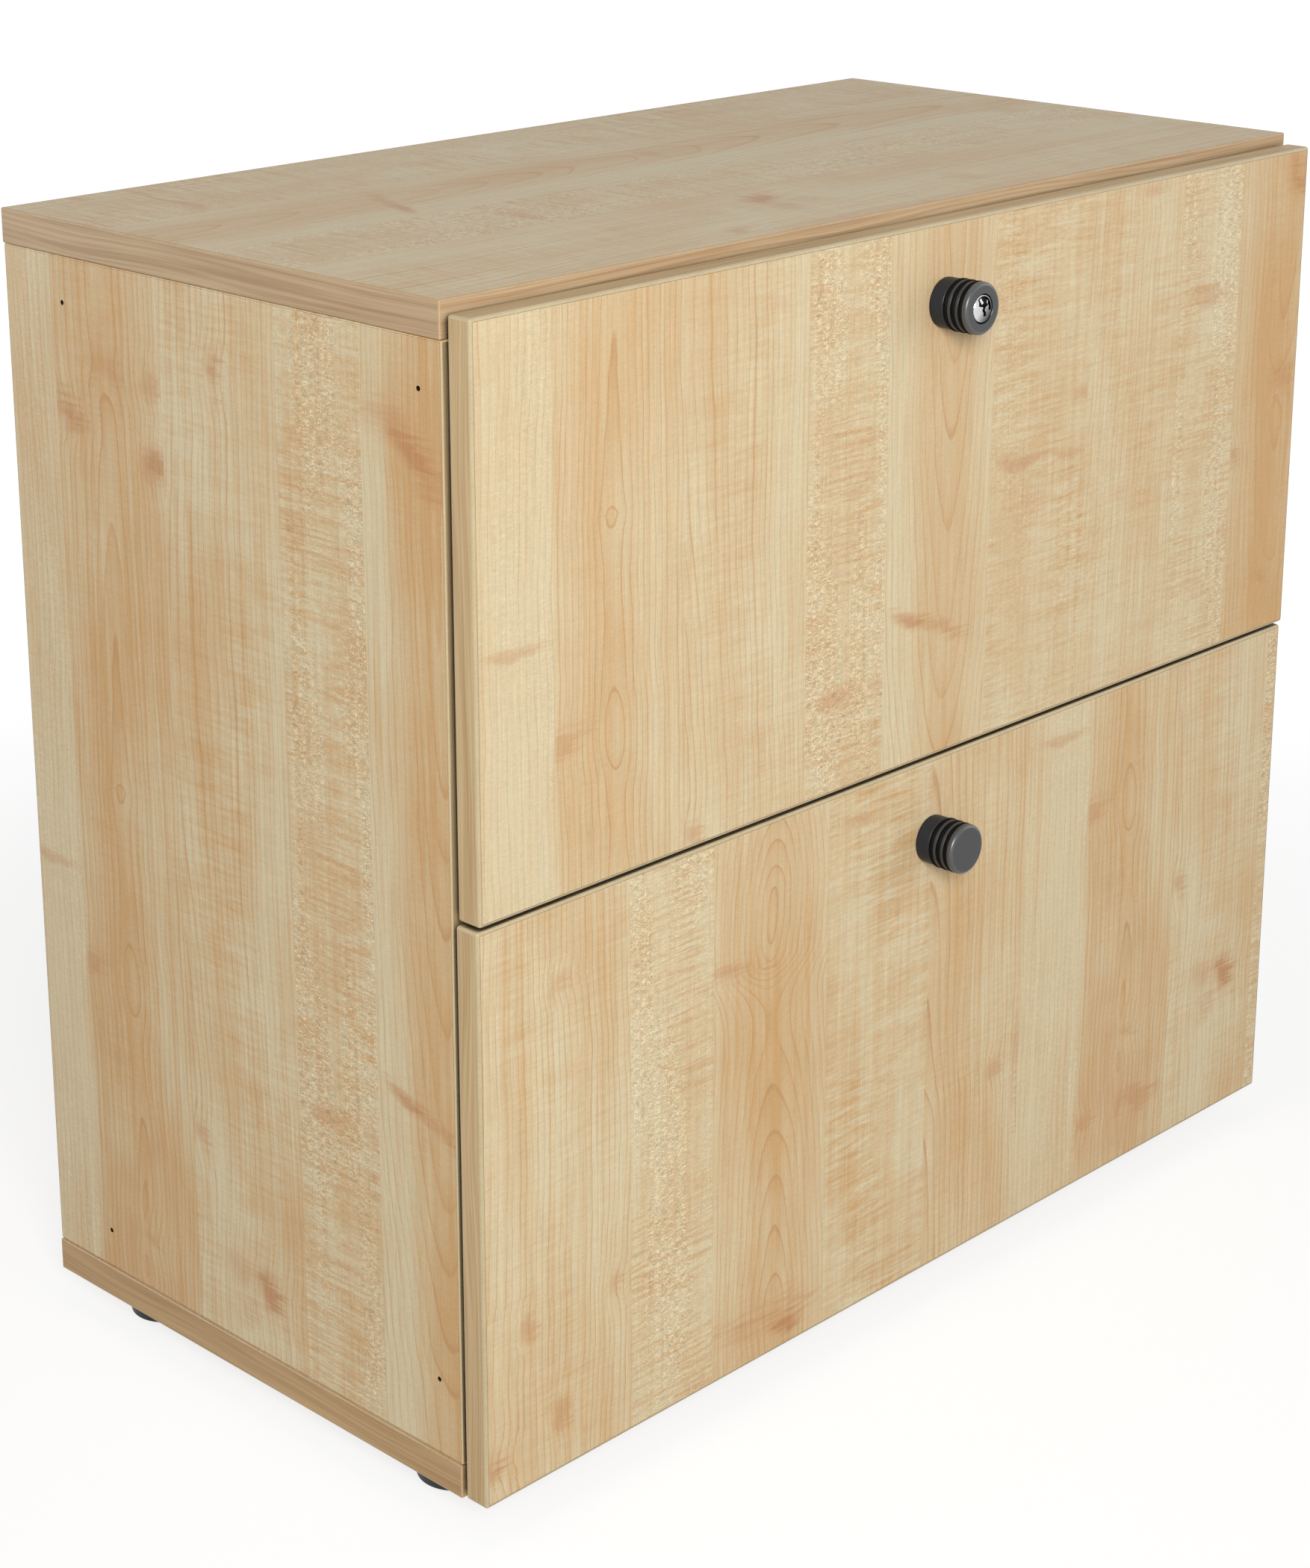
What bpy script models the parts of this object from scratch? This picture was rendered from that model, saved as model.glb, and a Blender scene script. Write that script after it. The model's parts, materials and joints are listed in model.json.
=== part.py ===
# A hanging file cabinet: a panel carcass on four levelling feet, with two drawers one above the other.
# Each drawer is a board front on a steel frame that carries two rows of A4 hanging files side by side.
# Metres, +Z up. The front faces -Y. The origin is on the floor under the middle of the whole box.

import math

import bmesh
import bpy
from mathutils import Vector

# Carcass
cabinet_width = 0.800
carcass_depth = 0.400
carcass_height = 0.726
top_thickness = 0.022
bottom_thickness = 0.022
side_thickness = 0.019
side_inset = 0.001
back_thickness = 0.008
back_inset = 0.012
groove_depth = 0.007
board_rounding = 0.0015
side_rounding = 0.001
touch_gap = 0.0003

# Connector holes in the outside of each side panel
side_hole_radius = 0.0014
side_hole_depth = 0.011
side_hole_front_setback = 0.019
side_hole_rear_setback = 0.342
side_hole_upper_drop = 0.029
side_hole_front_rise = 0.050
side_hole_rear_rise = 0.027

# Drawer fronts
front_side_reveal = 0.0015
front_thickness = 0.018
front_gap = 0.003
front_rounding = 0.002
front_top_reveal = 0.0075
front_bottom_reveal = 0.0015
front_between_gap = 0.002
lower_front_height = 0.3675
upper_front_offset = 0.001
lower_front_offset = -0.001

# Knobs, turned about an axis square to the front
knob_length = 0.030
knob_sleeve_radius = 0.016
knob_head_radius = 0.0165
knob_head_rounding = 0.0018
knob_base_chamfer = 0.0004
upper_knob_drop = 0.0505
lower_knob_drop = 0.055
ring_thickness = 0.003
ring_proud = 0.0007
ring_clearance = 0.00015
ring_first_height = 0.0126
ring_spacing = 0.00585
ring_count = 3
knob_screw_radius = 0.002
knob_screw_head_radius = 0.004
knob_screw_head_height = 0.0025
knob_screw_grip = 0.011
hole_clearance = 0.0003

# Lock in the upper knob
lock_face_radius = 0.0088
lock_face_thickness = 0.0027
lock_face_recess = 0.0003
lock_core_radius = 0.00705
lock_running_clearance = 0.0001
housing_radius = 0.00885
housing_overhang = 0.001
lock_nut_radius = 0.014
lock_nut_thickness = 0.003
lock_tail_radius = 0.0043
keyway_width = 0.002
keyway_height = 0.0095
keyway_step = 0.0008
keyway_depth = 0.009
cam_thickness = 0.0025
cam_hub_radius = 0.008
cam_reach = 0.030
cam_half_width = 0.004
cam_screw_radius = 0.0018
cam_screw_length = 0.007
cam_screw_head_radius = 0.006
cam_screw_head_height = 0.002
strike_width = 0.030
strike_depth = 0.020
strike_gauge = 0.0015
strike_drop = 0.014
strike_cam_gap = 0.001

# Ball slides, each of three nested channels
slide_height = 0.045
slide_width = 0.0127
slide_gauge = 0.0012
slide_clearance = 0.0004
slide_flange_setback = 0.0015
slide_setback = 0.003
slide_rear_clearance = 0.027

# Steel hanging frame of a drawer
frame_rear_clearance = 0.038
frame_height = 0.060
frame_gauge = 0.0015
frame_drop = 0.014
lip_width = 0.010
lip_turn = 0.008
rail_flange = 0.012
file_rail_span = 0.3275
file_bar_thickness = 0.003
file_bar_height = 0.015
bracket_gauge = 0.002
bracket_front_leg = 0.030
bracket_side_leg = 0.060
bracket_reach = 0.120
bracket_top_gap = 0.002

# Levelling feet
foot_height = 0.022
foot_radius = 0.025
foot_base_height = 0.010
foot_collar_radius = 0.021
foot_edge = 0.001
foot_stem_radius = 0.004
foot_stem_length = 0.018
foot_side_setback = 0.043
foot_front_setback = 0.052
foot_rear_setback = 0.060
sleeve_radius = 0.006
sleeve_length = 0.021

# Facets round a turned piece
knob_steps = 32
ring_steps = 28
ring_section_points = 8
rounding_points = 4
foot_steps = 24
small_steps = 20
cam_arc_points = 16
sharp_angle = math.radians(32)

# Places that follow from the sizes
knob_face_y = -(knob_length + front_thickness + front_gap + carcass_depth) / 2
front_face_y = knob_face_y + knob_length
front_back_y = front_face_y + front_thickness
carcass_front_y = front_back_y + front_gap
carcass_back_y = carcass_front_y + carcass_depth
half_width = cabinet_width / 2
side_outer_x = half_width - side_inset
side_inner_x = side_outer_x - side_thickness
carcass_bottom_z = foot_height
floor_z = carcass_bottom_z + bottom_thickness
carcass_top_z = carcass_bottom_z + carcass_height
ceiling_z = carcass_top_z - top_thickness
back_face_y = carcass_back_y - back_inset
clear_back_y = back_face_y - back_thickness

front_width = cabinet_width - 2 * front_side_reveal
lower_front_low_z = carcass_bottom_z + front_bottom_reveal
lower_front_high_z = lower_front_low_z + lower_front_height
upper_front_low_z = lower_front_high_z + front_between_gap
upper_front_high_z = carcass_top_z - front_top_reveal
upper_knob_z = upper_front_high_z - upper_knob_drop
lower_knob_z = lower_front_high_z - lower_knob_drop

frame_outer_x = side_inner_x - touch_gap - slide_width
frame_front_y = front_back_y + touch_gap
frame_rear_y = clear_back_y - frame_rear_clearance
slide_front_y = carcass_front_y + slide_setback
slide_back_y = clear_back_y - slide_rear_clearance

# Colour, roughness and metallic value of each finish
finishes = {
    "maple": ((0.60, 0.43, 0.24), 0.45, 0.0),
    "board": ((0.56, 0.43, 0.28), 0.60, 0.0),
    "anthracite": ((0.085, 0.088, 0.090), 0.45, 0.3),
    "rubber": ((0.012, 0.012, 0.013), 0.60, 0.0),
    "chrome": ((0.75, 0.75, 0.76), 0.15, 1.0),
    "zinc": ((0.55, 0.56, 0.57), 0.35, 1.0),
    "frame_grey": ((0.32, 0.33, 0.34), 0.50, 0.2),
    "foot_black": ((0.015, 0.015, 0.016), 0.55, 0.0),
}

for leftover in list(bpy.data.objects):
    bpy.data.objects.remove(leftover, do_unlink=True)

parts = bpy.data.collections.new("hanging_file_cabinet")
cutters = bpy.data.collections.new("cutters")
bpy.context.scene.collection.children.link(parts)
bpy.context.scene.collection.children.link(cutters)


def make_material(name, finish):
    color, roughness, metallic = finishes[finish]
    material = bpy.data.materials.new(name)
    material.use_nodes = True
    shader = material.node_tree.nodes["Principled BSDF"]
    shader.inputs["Base Color"].default_value = (*color, 1.0)
    shader.inputs["Roughness"].default_value = roughness
    shader.inputs["Metallic"].default_value = metallic
    material.diffuse_color = (*color, 1.0)
    return material


def add_empty(name, place):
    empty = bpy.data.objects.new(name, None)
    empty.empty_display_size = 0.05
    empty.location = place
    parts.objects.link(empty)
    return empty


def put(obj, place, parent):
    # The place is in the room; a parent here is an empty that only shifts.
    obj.location = Vector(place)
    if parent:
        obj.parent = parent
        obj.location -= parent.location


def add_part(name, data, place, finish, parent):
    obj = bpy.data.objects.new(name, data)
    data.materials.append(make_material(name, finish))
    parts.objects.link(obj)
    put(obj, place, parent)
    return obj


def add_cutter(name, data, place):
    obj = bpy.data.objects.new(name, data)
    obj.location = place
    obj.hide_render = True
    obj.display_type = "WIRE"
    cutters.objects.link(obj)
    return obj


def box_mesh(name, size):
    shape = bmesh.new()
    bmesh.ops.create_cube(shape, size=1.0)
    bmesh.ops.scale(shape, vec=size, verts=shape.verts)
    mesh = bpy.data.meshes.new(name)
    shape.to_mesh(mesh)
    shape.free()
    return mesh


def rod_mesh(name, radius, length, steps):
    shape = bmesh.new()
    bmesh.ops.create_cone(
        shape, cap_ends=True, segments=steps, radius1=radius, radius2=radius, depth=length
    )
    mesh = bpy.data.meshes.new(name)
    shape.to_mesh(mesh)
    shape.free()
    return mesh


def add_box(name, low, high, finish, parent=None, rounding=0.0, segments=2):
    low = Vector(low)
    high = Vector(high)
    obj = add_part(name, box_mesh(name, high - low), (low + high) / 2, finish, parent)
    if rounding:
        bevel = obj.modifiers.new("rounding", "BEVEL")
        bevel.width = rounding
        bevel.segments = segments
        bevel.limit_method = "ANGLE"
    return obj


def cut(obj, cutter):
    boolean = obj.modifiers.new("cut " + cutter.name, "BOOLEAN")
    boolean.operation = "DIFFERENCE"
    boolean.object = cutter


def cut_box(obj, name, low, high):
    low = Vector(low)
    high = Vector(high)
    cut(obj, add_cutter(name, box_mesh(name, high - low), (low + high) / 2))


def cut_rod(obj, name, radius, length, place, turn, steps=small_steps):
    cutter = add_cutter(name, rod_mesh(name, radius, length, steps), place)
    cutter.rotation_euler = turn
    cut(obj, cutter)


along_x = (math.radians(90), 0.0, math.radians(90))
along_y = (math.radians(90), 0.0, 0.0)
along_z = (0.0, 0.0, 0.0)


def add_section(name, loops, low, high, along, finish, parent=None, origin=(0.0, 0.0)):
    # A flat outline, stretched from low to high. It is drawn in YZ along x, XZ along y and XY along z,
    # from the given origin in that plane.
    curve = bpy.data.curves.new(name, "CURVE")
    curve.dimensions = "2D"
    curve.fill_mode = "BOTH"
    curve.extrude = (high - low) / 2
    for loop in loops:
        turning = sum(a[0] * b[1] - b[0] * a[1] for a, b in zip(loop, loop[1:] + loop[:1]))
        ordered = loop if turning > 0 else loop[::-1]
        spline = curve.splines.new("POLY")
        spline.points.add(len(ordered) - 1)
        for point, (across, up) in zip(spline.points, ordered):
            point.co = (across, up, 0.0, 1.0)
        spline.use_cyclic_u = True
    middle = (low + high) / 2
    places = {
        along_x: (middle, origin[0], origin[1]),
        along_y: (origin[0], middle, origin[1]),
        along_z: (origin[0], origin[1], middle),
    }
    obj = add_part(name, curve, places[along], finish, parent)
    obj.rotation_euler = along
    return obj


def settle(obj):
    # The modifiers' result becomes the mesh, smooth except at its real edges.
    graph = bpy.context.evaluated_depsgraph_get()
    mesh = bpy.data.meshes.new_from_object(obj.evaluated_get(graph))
    obj.modifiers.clear()
    obj.data = mesh
    mesh.shade_smooth()
    mesh.set_sharp_from_angle(angle=sharp_angle)


def add_turned(name, profile, place, finish, parent=None, turn=along_y, steps=small_steps):
    # The profile holds (radius, height) points down the outer side. One that starts off the axis is a ring.
    edges = [(i, i + 1) for i in range(len(profile) - 1)]
    if profile[0][0] > 0:
        edges.append((len(profile) - 1, 0))
    mesh = bpy.data.meshes.new(name)
    mesh.from_pydata([(radius, 0.0, height) for radius, height in profile], edges, [])
    obj = add_part(name, mesh, place, finish, parent)
    screw = obj.modifiers.new("turning", "SCREW")
    screw.axis = "Z"
    screw.steps = steps
    screw.render_steps = steps
    screw.use_merge_vertices = True
    screw.merge_threshold = 0.00001
    settle(obj)
    obj.rotation_euler = turn
    return obj


def arc(centre, radius, start_degrees, end_degrees, count):
    points = []
    for i in range(count + 1):
        angle = math.radians(start_degrees + (end_degrees - start_degrees) * i / count)
        points.append((centre[0] + radius * math.cos(angle), centre[1] + radius * math.sin(angle)))
    return points


# Carcass panels
def add_top_panel():
    panel = add_box(
        "top_panel",
        (-half_width, carcass_front_y, ceiling_z),
        (half_width, carcass_back_y, carcass_top_z),
        "maple",
        rounding=board_rounding,
    )
    cut_back_groove(panel, "top_groove", ceiling_z - touch_gap, ceiling_z + groove_depth)


def add_bottom_panel():
    panel = add_box(
        "bottom_panel",
        (-half_width, carcass_front_y, carcass_bottom_z),
        (half_width, carcass_back_y, floor_z),
        "maple",
        rounding=board_rounding,
    )
    cut_back_groove(panel, "bottom_groove", floor_z - groove_depth, floor_z + touch_gap)
    for name, x, y in foot_places():
        cut_rod(
            panel,
            name + "_sleeve_hole",
            sleeve_radius + hole_clearance,
            bottom_thickness * 2,
            (x, y, carcass_bottom_z + bottom_thickness / 2),
            along_z,
        )


def cut_back_groove(panel, name, low_z, high_z):
    reach_x = side_inner_x + groove_depth
    cut_box(
        panel,
        name,
        (-reach_x, clear_back_y - touch_gap, low_z),
        (reach_x, back_face_y + touch_gap, high_z),
    )


def add_side_panel(side, sign):
    faces = sorted((sign * side_inner_x, sign * side_outer_x))
    panel = add_box(
        side + "_side_panel",
        (faces[0], carcass_front_y, floor_z + touch_gap),
        (faces[1], carcass_back_y, ceiling_z - touch_gap),
        "maple",
        rounding=side_rounding,
    )
    groove = sorted((sign * (side_inner_x - touch_gap), sign * (side_inner_x + groove_depth)))
    cut_box(
        panel,
        side + "_groove",
        (groove[0], clear_back_y - touch_gap, floor_z - touch_gap),
        (groove[1], back_face_y + touch_gap, ceiling_z + touch_gap),
    )
    front_y = carcass_front_y + side_hole_front_setback
    rear_y = carcass_front_y + side_hole_rear_setback
    upper_z = ceiling_z - side_hole_upper_drop
    holes = (
        (front_y, upper_z),
        (rear_y, upper_z),
        (front_y, floor_z + side_hole_front_rise),
        (rear_y, floor_z + side_hole_rear_rise),
    )
    for i, (y, z) in enumerate(holes):
        cut_rod(
            panel,
            f"{side}_connector_hole_{i + 1}",
            side_hole_radius,
            side_hole_depth * 2,
            (sign * side_outer_x, y, z),
            (0.0, math.radians(90), 0.0),
            steps=12,
        )


def add_back_panel():
    reach_x = side_inner_x + groove_depth - touch_gap
    add_box(
        "back_panel",
        (-reach_x, clear_back_y, floor_z - groove_depth + touch_gap),
        (reach_x, back_face_y, ceiling_z + groove_depth - touch_gap),
        "board",
    )


# Levelling feet and the threaded sleeves that they screw into
def foot_places():
    x = half_width - foot_side_setback
    front_y = carcass_front_y + foot_front_setback
    rear_y = carcass_back_y - foot_rear_setback
    return (
        ("front_left", -x, front_y),
        ("front_right", x, front_y),
        ("rear_left", -x, rear_y),
        ("rear_right", x, rear_y),
    )


def add_foot(name, x, y):
    top_z = carcass_bottom_z - touch_gap
    travel = add_empty(name + "_foot_travel", (x, y, 0.0))
    add_turned(
        name + "_foot",
        (
            (0.0, top_z + foot_stem_length),
            (foot_stem_radius, top_z + foot_stem_length),
            (foot_stem_radius, top_z),
            (foot_collar_radius - foot_edge, top_z),
            (foot_collar_radius, top_z - foot_edge),
            (foot_collar_radius, foot_base_height),
            (foot_radius - foot_edge, foot_base_height),
            (foot_radius, foot_base_height - foot_edge),
            (foot_radius, foot_edge),
            (foot_radius - foot_edge, 0.0),
            (0.0, 0.0),
        ),
        (x, y, 0.0),
        "foot_black",
        travel,
        along_z,
        foot_steps,
    )
    add_turned(
        name + "_foot_sleeve",
        (
            (foot_stem_radius + hole_clearance, carcass_bottom_z + sleeve_length),
            (sleeve_radius, carcass_bottom_z + sleeve_length),
            (sleeve_radius, carcass_bottom_z),
            (foot_stem_radius + hole_clearance, carcass_bottom_z),
        ),
        (x, y, 0.0),
        "zinc",
        None,
        along_z,
    )


# Ball slides: each channel is drawn by its distance from the side panel and its height off the slide's middle
def channel(web_near, web_far, flange_end, half_height):
    inner_height = half_height - slide_gauge
    return [
        (web_near, -half_height),
        (flange_end, -half_height),
        (flange_end, -inner_height),
        (web_far, -inner_height),
        (web_far, inner_height),
        (flange_end, inner_height),
        (flange_end, half_height),
        (web_near, half_height),
    ]


def add_slide_member(name, outline, sign, middle_z, parent):
    face_x = sign * side_inner_x
    loop = [(-sign * across, up) for across, up in outline]
    add_section(
        name, [loop], slide_front_y, slide_back_y, along_y, "zinc", parent, (face_x, middle_z)
    )


def add_slide(drawer, side, sign, middle_z, drawer_empty):
    half_height = slide_height / 2
    step = slide_gauge + slide_clearance
    outer_web = touch_gap
    middle_web = outer_web + step
    inner_web = touch_gap + slide_width
    slide_reach = inner_web - slide_flange_setback
    add_slide_member(
        f"{drawer}_{side}_cabinet_slide",
        channel(outer_web, outer_web + slide_gauge, slide_reach, half_height),
        sign,
        middle_z,
        None,
    )
    travel = add_empty(
        f"{drawer}_{side}_slide_travel", (sign * side_inner_x, carcass_front_y, middle_z)
    )
    add_slide_member(
        f"{drawer}_{side}_middle_slide",
        channel(middle_web, middle_web + slide_gauge, slide_reach, half_height - step),
        sign,
        middle_z,
        travel,
    )
    add_slide_member(
        f"{drawer}_{side}_drawer_slide",
        channel(inner_web, inner_web - slide_gauge, middle_web + step, half_height - 2 * step),
        sign,
        middle_z,
        drawer_empty,
    )


# Steel hanging frame
def add_frame_side(drawer, side, sign, low_z, high_z, parent):
    face_x = frame_outer_x - touch_gap
    outline = [
        (0.0, low_z),
        (frame_gauge, low_z),
        (frame_gauge, high_z - frame_gauge),
        (lip_width - frame_gauge, high_z - frame_gauge),
        (lip_width - frame_gauge, high_z - lip_turn),
        (lip_width, high_z - lip_turn),
        (lip_width, high_z),
        (0.0, high_z),
    ]
    loop = [(sign * (face_x - inward), up) for inward, up in outline]
    add_section(
        f"{drawer}_frame_{side}_side",
        [loop],
        frame_front_y,
        frame_rear_y,
        along_y,
        "frame_grey",
        parent,
    )


def add_frame_rail(name, web_y, inward, half_length, low_z, high_z, parent):
    outline = [
        (0.0, low_z),
        (rail_flange, low_z),
        (rail_flange, low_z + frame_gauge),
        (frame_gauge, low_z + frame_gauge),
        (frame_gauge, high_z - frame_gauge),
        (rail_flange, high_z - frame_gauge),
        (rail_flange, high_z),
        (0.0, high_z),
    ]
    loop = [(web_y + inward * depth, up) for depth, up in outline]
    add_section(name, [loop], -half_length, half_length, along_x, "frame_grey", parent)


def add_front_bracket(drawer, side, sign, low_z, high_z, parent):
    face_x = frame_outer_x - touch_gap - frame_gauge - touch_gap
    outline = [
        (0.0, 0.0),
        (bracket_front_leg, 0.0),
        (bracket_front_leg, bracket_gauge),
        (bracket_gauge, bracket_gauge),
        (bracket_gauge, bracket_side_leg),
        (0.0, bracket_side_leg),
    ]
    loop = [(sign * (face_x - inward), frame_front_y + depth) for inward, depth in outline]
    add_section(
        f"{drawer}_{side}_front_bracket",
        [loop],
        low_z - bracket_reach,
        high_z - lip_turn - bracket_top_gap,
        along_z,
        "frame_grey",
        parent,
    )


def add_frame(drawer, knob_z, parent):
    high_z = knob_z - frame_drop
    low_z = high_z - frame_height
    lip_x = frame_outer_x - touch_gap - lip_width
    bracket_x = frame_outer_x - touch_gap - frame_gauge - touch_gap - bracket_front_leg
    for side, sign in sides:
        add_frame_side(drawer, side, sign, low_z, high_z, parent)
        add_front_bracket(drawer, side, sign, low_z, high_z, parent)
        add_slide(drawer, side, sign, (low_z + high_z) / 2, parent)
        bar_x = sorted(
            (sign * (lip_x - file_rail_span), sign * (lip_x - file_rail_span - file_bar_thickness))
        )
        add_box(
            f"{drawer}_{side}_file_bar",
            (bar_x[0], frame_front_y + rail_flange + touch_gap, high_z - file_bar_height),
            (bar_x[1], frame_rear_y - rail_flange - touch_gap, high_z),
            "frame_grey",
            parent,
        )
    add_frame_rail(
        drawer + "_frame_front_rail",
        frame_front_y,
        1.0,
        bracket_x - touch_gap,
        low_z,
        high_z,
        parent,
    )
    add_frame_rail(
        drawer + "_frame_rear_rail",
        frame_rear_y,
        -1.0,
        lip_x - touch_gap,
        low_z,
        high_z,
        parent,
    )


# Drawer fronts, knobs and rings
def add_front(drawer, middle_x, low_z, high_z, knob_z, hole_radius, parent):
    front = add_box(
        drawer + "_front",
        (middle_x - front_width / 2, front_face_y, low_z),
        (middle_x + front_width / 2, front_back_y, high_z),
        "maple",
        parent,
        front_rounding,
        3,
    )
    cut_rod(
        front,
        drawer + "_knob_hole",
        hole_radius,
        front_thickness * 2,
        (0.0, front_face_y + front_thickness / 2, knob_z),
        along_y,
        steps=24,
    )


def ring_heights():
    return [ring_first_height + ring_spacing * i for i in range(ring_count)]


def ring_centre_radius():
    return knob_sleeve_radius + ring_proud - ring_thickness / 2


def knob_outside():
    # From the face down the outer side to the front panel, with a square groove for each ring.
    groove_half = ring_thickness / 2 + ring_clearance
    groove_floor = ring_centre_radius() - groove_half
    corner = (knob_head_radius - knob_head_rounding, knob_length - knob_head_rounding)
    profile = arc(corner, knob_head_rounding, 90, 0, rounding_points)
    radius = knob_head_radius
    for height in reversed(ring_heights()):
        profile += [
            (radius, height + groove_half),
            (groove_floor, height + groove_half),
            (groove_floor, height - groove_half),
            (knob_sleeve_radius, height - groove_half),
        ]
        radius = knob_sleeve_radius
    profile += [
        (knob_sleeve_radius, touch_gap + knob_base_chamfer),
        (knob_sleeve_radius - knob_base_chamfer, touch_gap),
    ]
    return profile


def add_rings(drawer, knob_z, parent):
    radius = ring_thickness / 2
    for i, height in enumerate(ring_heights()):
        section = arc((ring_centre_radius(), height), radius, 90, -270, ring_section_points)[:-1]
        add_turned(
            f"{drawer}_knob_ring_{i + 1}",
            section,
            (0.0, front_face_y, knob_z),
            "rubber",
            parent,
            along_y,
            ring_steps,
        )


def add_plain_knob(drawer, knob_z, parent):
    place = (0.0, front_face_y, knob_z)
    bore_radius = knob_screw_radius + hole_clearance
    bore_top = touch_gap + knob_screw_grip
    profile = [(0.0, knob_length)] + knob_outside()
    profile += [(bore_radius, touch_gap), (bore_radius, bore_top), (0.0, bore_top)]
    add_turned(drawer + "_knob", profile, place, "anthracite", parent, along_y, knob_steps)
    head_top = -front_thickness - touch_gap
    tip = bore_top - touch_gap
    add_turned(
        drawer + "_knob_screw",
        (
            (0.0, tip),
            (knob_screw_radius, tip),
            (knob_screw_radius, head_top),
            (knob_screw_head_radius, head_top),
            (knob_screw_head_radius, head_top - knob_screw_head_height),
            (0.0, head_top - knob_screw_head_height),
        ),
        place,
        "zinc",
        parent,
    )


def add_lock_knob(drawer, knob_z, parent):
    place = (0.0, front_face_y, knob_z)
    bore_radius = housing_radius + hole_clearance
    profile = [(bore_radius, knob_length)] + knob_outside() + [(bore_radius, touch_gap)]
    add_turned(drawer + "_knob", profile, place, "anthracite", parent, along_y, knob_steps)

    face_top = knob_length - lock_face_recess
    face_back = face_top - lock_face_thickness
    nut_front = -front_thickness - touch_gap
    nut_back = nut_front - lock_nut_thickness
    housing_back = nut_back - housing_overhang
    cam_front = carcass_front_y + strike_gauge + strike_cam_gap - front_face_y
    cam_front = -max(cam_front, touch_gap - housing_back)
    cam_back = cam_front - cam_thickness
    housing_bore = lock_core_radius + lock_running_clearance
    add_turned(
        "lock_housing",
        (
            (housing_bore, face_back - touch_gap),
            (housing_radius, face_back - touch_gap),
            (housing_radius, housing_back),
            (housing_bore, housing_back),
        ),
        place,
        "zinc",
        parent,
        along_y,
        knob_steps,
    )
    nut = add_part(
        "lock_nut",
        rod_mesh("lock_nut", lock_nut_radius, lock_nut_thickness, 6),
        (0.0, front_face_y - (nut_front + nut_back) / 2, knob_z),
        "zinc",
        parent,
    )
    nut.rotation_euler = along_y
    cut_rod(
        nut,
        "lock_nut_bore",
        bore_radius,
        lock_nut_thickness * 2,
        (0.0, front_face_y - (nut_front + nut_back) / 2, knob_z),
        along_y,
        steps=knob_steps,
    )

    turning = add_empty("lock_turning", place)
    tail_bore = cam_screw_radius + hole_clearance
    bore_end = cam_back + cam_screw_length + hole_clearance
    cylinder = add_turned(
        "lock_cylinder",
        (
            (0.0, face_top),
            (lock_face_radius, face_top),
            (lock_face_radius, face_back),
            (lock_core_radius, face_back),
            (lock_core_radius, cam_front + touch_gap),
            (lock_tail_radius, cam_front + touch_gap),
            (lock_tail_radius, cam_back),
            (tail_bore, cam_back),
            (tail_bore, bore_end),
            (0.0, bore_end),
        ),
        place,
        "chrome",
        turning,
        along_y,
        knob_steps,
    )
    for name, shift, low, high in (
        ("keyway_upper", -keyway_step / 2, -keyway_width / 2, keyway_height / 2),
        ("keyway_lower", keyway_step / 2, -keyway_height / 2, keyway_width / 2),
    ):
        cut_box(
            cylinder,
            name,
            (shift - keyway_width / 2, knob_face_y - touch_gap, knob_z + low),
            (shift + keyway_width / 2, knob_face_y + lock_face_recess + keyway_depth, knob_z + high),
        )

    arm_angle = math.degrees(math.asin(cam_half_width / cam_hub_radius))
    outside = arc((0.0, 0.0), cam_hub_radius, arm_angle, 360 - arm_angle, cam_arc_points)
    outside += arc(
        (cam_reach - cam_half_width, 0.0), cam_half_width, -90, 90, cam_arc_points // 2
    )
    hole = arc((0.0, 0.0), lock_tail_radius + hole_clearance, 0, 360, cam_arc_points)[:-1]
    add_section(
        "lock_cam",
        [outside, hole],
        front_face_y - cam_front,
        front_face_y - cam_back,
        along_y,
        "zinc",
        turning,
        (0.0, knob_z),
    )
    head_front = cam_back - touch_gap
    add_turned(
        "lock_cam_screw",
        (
            (0.0, cam_back + cam_screw_length),
            (cam_screw_radius, cam_back + cam_screw_length),
            (cam_screw_radius, head_front),
            (cam_screw_head_radius, head_front),
            (cam_screw_head_radius, head_front - cam_screw_head_height),
            (0.0, head_front - cam_screw_head_height),
        ),
        place,
        "zinc",
        turning,
    )


def add_strike_plate():
    # An angle under the top panel. Its flange hangs in front of the raised cam.
    low_y = carcass_front_y
    high_z = ceiling_z - touch_gap
    low_z = ceiling_z - strike_drop
    outline = [
        (low_y, low_z),
        (low_y + strike_gauge, low_z),
        (low_y + strike_gauge, high_z - strike_gauge),
        (low_y + strike_depth, high_z - strike_gauge),
        (low_y + strike_depth, high_z),
        (low_y, high_z),
    ]
    add_section(
        "lock_strike_plate", [outline], -strike_width / 2, strike_width / 2, along_x, "zinc"
    )


sides = (("left", -1.0), ("right", 1.0))

add_top_panel()
add_bottom_panel()
for side_name, side_sign in sides:
    add_side_panel(side_name, side_sign)
add_back_panel()
for foot_name, foot_x, foot_y in foot_places():
    add_foot(foot_name, foot_x, foot_y)

upper_travel = add_empty("upper_drawer_travel", (0.0, front_face_y, upper_knob_z))
add_front(
    "upper",
    upper_front_offset,
    upper_front_low_z,
    upper_front_high_z,
    upper_knob_z,
    housing_radius + hole_clearance,
    upper_travel,
)
add_frame("upper", upper_knob_z, upper_travel)
add_lock_knob("upper", upper_knob_z, upper_travel)
add_rings("upper", upper_knob_z, upper_travel)
add_strike_plate()

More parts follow.
